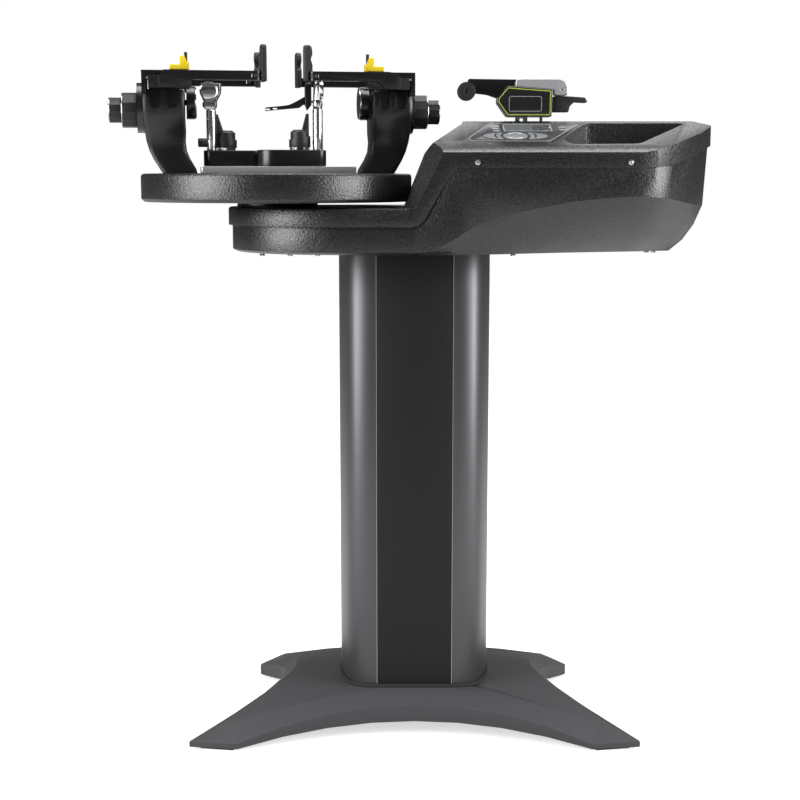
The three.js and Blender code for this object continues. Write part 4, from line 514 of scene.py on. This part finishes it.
class STRINGER_OT_stage(bpy.types.Operator):
    """Adds the pale floor, the soft lights, the white surround and the camera"""

    bl_idname = "stringer.stage"
    bl_label = "Stage"

    def execute(self, context):
        settings = context.scene.stringer_stage
        scene = context.scene
        scene.view_settings.view_transform = "Standard"
        lens = bpy.data.cameras.new("camera")
        lens.lens = settings.lens
        lens.sensor_width = 36
        lens.clip_end = 50
        camera = bpy.data.objects.new("camera", lens)
        camera.location = (settings.camera_side, -settings.camera_distance,
                           settings.camera_height)
        camera.rotation_euler = (math.pi / 2 - settings.camera_tilt, 0, 0)
        scene.collection.objects.link(camera)
        scene.camera = camera
        self.floor(settings)
        self.surround(scene)
        self.lights(scene)
        return {"FINISHED"}

    def floor(self, settings):
        bm = bmesh.new()
        bmesh.ops.create_circle(bm, cap_ends=True, segments=96, radius=settings.floor_radius)
        mesh = bpy.data.meshes.new("floor")
        bm.to_mesh(mesh)
        bm.free()
        floor = bpy.data.objects.new("floor", mesh)
        bpy.context.scene.collection.objects.link(floor)
        material, tree, shader = new_material("pale_studio_floor", settings.floor,
                                              roughness=0.6, specular_ior_level=0.2)
        path = add_node(tree, "ShaderNodeLightPath")
        where = add_node(tree, "ShaderNodeTexCoord").outputs["Object"]
        away = add_node(tree, "ShaderNodeVectorMath", {"operation": "LENGTH"},
                        {0: where}).outputs["Value"]
        # Pure white far off, and a little less near the foot, where the shadow falls.
        glow = add_node(tree, "ShaderNodeMapRange",
                        {"From Min": GLOW_NEAR[0], "From Max": GLOW_FAR[0],
                         "To Min": GLOW_NEAR[1], "To Max": GLOW_FAR[1]},
                        {"Value": away}).outputs["Result"]
        seen = add_node(tree, "ShaderNodeMath", {"operation": "MULTIPLY"},
                        {0: path.outputs["Is Camera Ray"], 1: glow})
        strength = add_node(tree, "ShaderNodeMath",
                            {"operation": "MULTIPLY_ADD", 1: FLOOR_REFLECTED},
                            {0: path.outputs["Is Glossy Ray"], 2: seen.outputs["Value"]})
        shader.inputs["Emission Color"].default_value = (1, 1, 1, 1)
        tree.links.new(strength.outputs["Value"], shader.inputs["Emission Strength"])
        mesh.materials.append(material)

    def surround(self, scene):
        world = bpy.data.worlds.new("white_surround")
        world.use_nodes = True
        scene.world = world
        tree = world.node_tree
        back = tree.nodes["Background"]
        path = add_node(tree, "ShaderNodeLightPath")
        total = path.outputs["Is Camera Ray"]
        # White to the camera and through glass, and a plain dim fill to every other ray.
        for ray, share in SURROUND_SHARES:
            total = add_node(tree, "ShaderNodeMath", {"operation": "MULTIPLY_ADD", 1: share},
                             {0: path.outputs[ray], 2: total}).outputs["Value"]
        back.inputs["Color"].default_value = (1, 1, 1, 1)
        tree.links.new(total, back.inputs["Strength"])

    def lights(self, scene):
        for name, place, aim, wide, high, power in LAMPS:
            lamp = bpy.data.lights.new(name, "AREA")
            lamp.shape = "RECTANGLE"
            lamp.size, lamp.size_y = wide, high
            lamp.energy = power
            lit = bpy.data.objects.new(name, lamp)
            lit.location = place
            facing = (Vector(aim) - Vector(place)).to_track_quat("-Z", "Y")
            lit.rotation_euler = facing.to_euler()
            scene.collection.objects.link(lit)


# Finishes


class FinishSettings(bpy.types.PropertyGroup):
    """The colours of the machine's finishes."""

    foot: colour("Foot", 0x3C3C3E)
    column: colour("Column", 0x4B4B4D)
    film: colour("Column film", 0x131312)
    textured: colour("Textured ABS", 0x141415)
    enamel: colour("Enamel", 0x0E0E0F)
    nylon: colour("Nylon", 0x161617)
    panel: colour("Panel", 0x2A2A2D)
    key: colour("Keys", 0x56575A)
    mark: colour("Printed marks", 0x8E9094)
    display: colour("Display", 0x3C3E43)
    lit_glass: colour("Display glass", 0x4C4F54)
    rubber: colour("Rubber", 0x131313)
    steel: colour("Steel", 0xB4B5B7)
    nickel: colour("Screws", 0xC4C5C6)
    chrome: colour("Chrome", 0xDADBDC)
    anodised: colour("Anodised plate", 0xA9AAAC)
    head_silver: colour("Head cover", 0xA6A7A9)
    # Silver of the trim lines, also the colour of the painted highlight round the control panel's
    # recess.
    trim_and_painted_highlight: colour("Silver trim", 0x9A9B9E)
    olive: colour("Head trim", 0x8C9440)
    yellow: colour("Yellow pads", 0xCDB61E)
    blackened: colour("Blackened steel", 0x1B1B1C)


class STRINGER_OT_finishes(bpy.types.Operator):
    """Makes every finish that the pieces use"""

    bl_idname = "stringer.finishes"
    bl_label = "Finishes"

    def execute(self, context):
        MATERIALS.update(make_materials(context.scene.stringer_finishes))
        return {"FINISHED"}


# The machine's groups


class STRINGER_OT_stand(bpy.types.Operator):
    """Dresses the foot casting, its pads and the column"""

    bl_idname = "stringer.stand"
    bl_label = "Stand"

    def execute(self, context):
        dress("base_casting", "foot", bevel=2.2, sharp=24, segments=3)
        for place in ("front_left", "front_right", "rear_left", "rear_right"):
            dress(f"foot_pad_{place}", "rubber", bevel=0.6)
        dress("column_extrusion", "column", bevel=0.5, sharp=40)
        dress("column_panel", "film", bevel=0.4)
        dress("column_gasket", "rubber", bevel=1.2)
        bm = bmesh.new()
        for side in (-1, 1):
            place = turn_about(FRONT, (COLUMN_X + side * TRIM_ASIDE, TRIM_Y, TRIM_Z))
            add_plate(bm, place, TRIM_SIZE, 0.2, 0.9)
        piece_from(bm, "column_trim", "trim_and_painted_highlight", "stand")
        return {"FINISHED"}


class STRINGER_OT_housing(bpy.types.Operator):
    """Dresses the housing's tub and cover"""

    bl_idname = "stringer.housing"
    bl_label = "Housing"

    def execute(self, context):
        dress("housing_lower", "textured", bevel=0.8, sharp=30)
        dress("housing_upper", "textured", bevel=1.6, sharp=26, segments=3)
        bm = bmesh.new()
        for x in WALL_SCREW_XS:
            for facing, y in ((FRONT, -WALL_Y), (REAR, WALL_Y)):
                add_screw(bm, turn_about(facing, (x, y, WALL_SCREW_Z)), 4.4, 2.4)
        for y, xs in BOLT_ROWS:
            for x in xs:
                place = turn_about(DOWN, (x, y, BELLY_Z))
                add_disc(bm, place, 5.6, 0, 1.2, sides=24)
                add_disc(bm, place, 3.9, 1, 5, sides=6)
        piece_from(bm, "housing_screws", "screw", "stand")
        return {"FINISHED"}


class STRINGER_OT_control_panel(bpy.types.Operator):
    """Dresses the control panel, its display and its keys"""

    bl_idname = "stringer.control_panel"
    bl_label = "Control panel"

    def execute(self, context):
        dress("control_panel", "panel", bevel=0.3)
        dress("display_window", "display", bevel=0.3)
        for key in ("key_set", "key_minus", "key_plus"):
            dress(key, "key", bevel=0.4)
        bm = bmesh.new()
        # A silver line all round the panel's recess: a painted highlight standing in for the light
        # that the recess's lower and right edges catch.
        add_rim(bm, "control_panel", SLOPE, 0.6, 1.6, 0.35)
        piece_from(bm, "panel_rim_painted_highlight", "trim_and_painted_highlight", "stand")
        bm = bmesh.new()
        for x, drops in LAMP_MARKS:
            for drop in drops:
                add_plate(bm, on_slope(x, drop, -0.1), (11, 3), 1.2, 0.35)
        add_plate(bm, on_slope(*DISPLAY_OUTLINE, -0.1), (75, 37), 1.6, 0.35, line=1.2)
        piece_from(bm, "panel_marks", "mark", "stand")
        bm = bmesh.new()
        add_ring(bm, on_slope(*KEY_CENTRE, 0.6), 14.5, 0.45)
        piece_from(bm, "set_key_ring", "trim_and_painted_highlight", "set_key")
        for key, turn in (("minus_key", math.pi), ("plus_key", 0)):
            bm = bmesh.new()
            place = on_slope(*KEY_CENTRE, 0.5) @ Matrix.Rotation(turn, 4, "Z")
            add_arc(bm, place, 31, 2.6, 0.3, math.radians(46))
            piece_from(bm, f"{key}_line", "film", key)
        bm = bmesh.new()
        add_plate(bm, on_slope(*DISPLAY_FIELD, -0.35), (43, 29), 2, 0.2)
        piece_from(bm, "display_field", "lit_glass", "stand")
        return {"FINISHED"}


class STRINGER_OT_drive(bpy.types.Operator):
    """Dresses the rail, the screw, the gearmotor, the inlet and the power rocker"""

    bl_idname = "stringer.drive"
    bl_label = "Rail and drive"

    def execute(self, context):
        dress("tension_rail", "anodised", bevel=0.5)
        dress("lead_screw", "steel", bevel=0)
        dress("drive_gearmotor", "cast", bevel=1.0)
        dress("power_inlet", "nylon", bevel=0.6)
        dress("power_rocker", "polished_abs", bevel=0.6)
        return {"FINISHED"}


class STRINGER_OT_turntable(bpy.types.Operator):
    """Dresses the turntable, its hub and its glide plate"""

    bl_idname = "stringer.turntable"
    bl_label = "Turntable"

    def execute(self, context):
        dress("turntable_hub", "blackened", bevel=0.6)
        dress("turntable_disc", "textured", bevel=0.6)
        dress("glide_plate", "anodised", bevel=0.6)
        return {"FINISHED"}


class STRINGER_OT_towers(bpy.types.Operator):
    """Dresses both towers with their arms, shoulder plates, wheels, knobs and head pads"""

    bl_idname = "stringer.towers"
    bl_label = "Towers"

    def execute(self, context):
        for side in ("left", "right"):
            dress(f"tower_{side}", "enamel", bevel=1.2, sharp=34, segments=3)
            dress(f"inner_wheel_{side}", "enamel", bevel=0.8)
            dress(f"arm_knob_{side}", "nylon", bevel=0.4, sharp=34)
            dress(f"pad_knob_{side}", "nylon", bevel=0.4, sharp=34)
            pin = at_tower(side, PAD_PIN_OUT, 0, 0)
            pad = dress(f"head_pad_{side}", "yellow", bevel=0.6)
            repaint(pad, "blackened", lambda c, pin=pin: c.z > PAD_PIN_Z
                    and flat_distance(c, pin) < PAD_PIN_RADIUS)
            self.bright_rims(side)
            for end in ("front", "rear"):
                dress(f"arm_{side}_{end}", "enamel", bevel=0.9)
                dress(f"shoulder_{side}_{end}", "nylon", bevel=0.6)
        return {"FINISHED"}

    def bright_rims(self, side):
        """The bright rings on the knobs and the inner wheel, and the screws of the guides."""
        arm_end, pad_end = KNOB_ENDS[side]
        rings = ((arm_end - 0.6, KNOB_Z, 26.4, f"{side}_arm_knob"),
                 (pad_end - 1.1, KNOB_Z, 18.9, f"{side}_pad_knob"),
                 (-52.4, WHEEL_Z, 24.2, f"{side}_tower"))
        for out, z, radius, body in rings:
            bm = bmesh.new()
            add_ring(bm, turn_about(outward(side), at_tower(side, out, 0, z)), radius, 0.8)
            piece_from(bm, f"bright_rim_{body}", "screw", body)
        bm = bmesh.new()
        for across in (-58, 58):
            facing = on_table(0, across, 0) - on_table(0, 0, 0)
            place = turn_about(facing, at_tower(side, 21, across * OUTWARD[side], 1046))
            add_disc(bm, place, 2.2, -0.4, 0.5, sides=16)
        piece_from(bm, f"guide_screws_{side}", "screw", f"{side}_tower")


class STRINGER_OT_clamps(bpy.types.Operator):
    """Dresses both string clamps"""

    bl_idname = "stringer.clamps"
    bl_label = "Clamps"

    def execute(self, context):
        for side in ("left", "right"):
            dress(f"clamp_slider_{side}", "steel", bevel=0.3)
            # The edges of the ten-sided stud hole meet at 36 degrees and stay sharp.
            dress(f"clamp_arm_{side}", "enamel", bevel=1.2, sharp=40)
            knob = dress(f"clamp_knob_{side}", "nylon", bevel=0.5)
            repaint(knob, "chrome", lambda c: c.z < LOCK_STUD_Z)
            axis = on_table(*POSTS[side], 0)
            post = dress(f"clamp_post_{side}", "chrome", bevel=0.6)
            repaint(post, "nylon", lambda c, axis=axis: flat_distance(c, axis) > POST_RADIUS
                    and c.z < POST_COLLAR_Z)
            dress(f"clamp_head_{side}", "chrome", bevel=0.5)
            dress(f"clamp_jaw_{side}", "blackened", bevel=0.5)
        return {"FINISHED"}


class STRINGER_OT_tension_head(bpy.types.Operator):
    """Dresses the tension head"""

    bl_idname = "stringer.tension_head"
    bl_label = "Tension head"

    def execute(self, context):
        dress("tension_carriage", "steel", bevel=0.4)
        dress("head_body", "polished_abs", bevel=0.8)
        dress("head_cover", "head_silver", bevel=0.5)
        dress("gripper_arm", "blackened", bevel=0.6)
        dress("string_roller", "nylon", bevel=0.5)
        dress("release_lever", "nylon", bevel=0.6)
        bm = bmesh.new()
        add_rim(bm, "head_body", turn_about(FRONT, (0, HEAD_FRONT_Y, 0)), 1.6, 1.5, 0.35)
        piece_from(bm, "head_trim", "olive", "tension_head")
        bm = bmesh.new()
        add_plate(bm, turn_about(FRONT, HEAD_FRAME), HEAD_FRAME_SIZE, 3, 0.35, line=1.1)
        piece_from(bm, "head_frame_line", "trim_and_painted_highlight", "tension_head")
        return {"FINISHED"}


STEPS = ("finishes", "stage", "stand", "housing", "control_panel", "drive", "turntable",
         "towers", "clamps", "tension_head")


class STRINGER_PT_panel(bpy.types.Panel):
    """Lists the machine's settings and the steps that dress it"""

    bl_idname = "STRINGER_PT_panel"
    bl_label = "Stringing Machine"
    bl_space_type = "VIEW_3D"
    bl_region_type = "UI"
    bl_category = "Stringer"

    def draw(self, context):
        layout = self.layout
        for settings in (context.scene.stringer_finishes, context.scene.stringer_stage):
            box = layout.box()
            for key in settings.__annotations__:
                box.prop(settings, key)
        for step in STEPS:
            layout.operator(f"stringer.{step}")


SETTINGS = {"stringer_stage": StageSettings, "stringer_finishes": FinishSettings}
OPERATORS = (STRINGER_OT_finishes, STRINGER_OT_stage, STRINGER_OT_stand, STRINGER_OT_housing,
             STRINGER_OT_control_panel, STRINGER_OT_drive, STRINGER_OT_turntable,
             STRINGER_OT_towers, STRINGER_OT_clamps, STRINGER_OT_tension_head)


def register():
    for made in (*SETTINGS.values(), *OPERATORS, STRINGER_PT_panel):
        bpy.utils.register_class(made)
    for name, made in SETTINGS.items():
        setattr(bpy.types.Scene, name, PointerProperty(type=made))


def unregister():
    for name in SETTINGS:
        delattr(bpy.types.Scene, name)
    for made in reversed((*SETTINGS.values(), *OPERATORS, STRINGER_PT_panel)):
        bpy.utils.unregister_class(made)


def main():
    register()
    for step in STEPS:
        getattr(bpy.ops.stringer, step)()


if __name__ == "__main__":
    main()
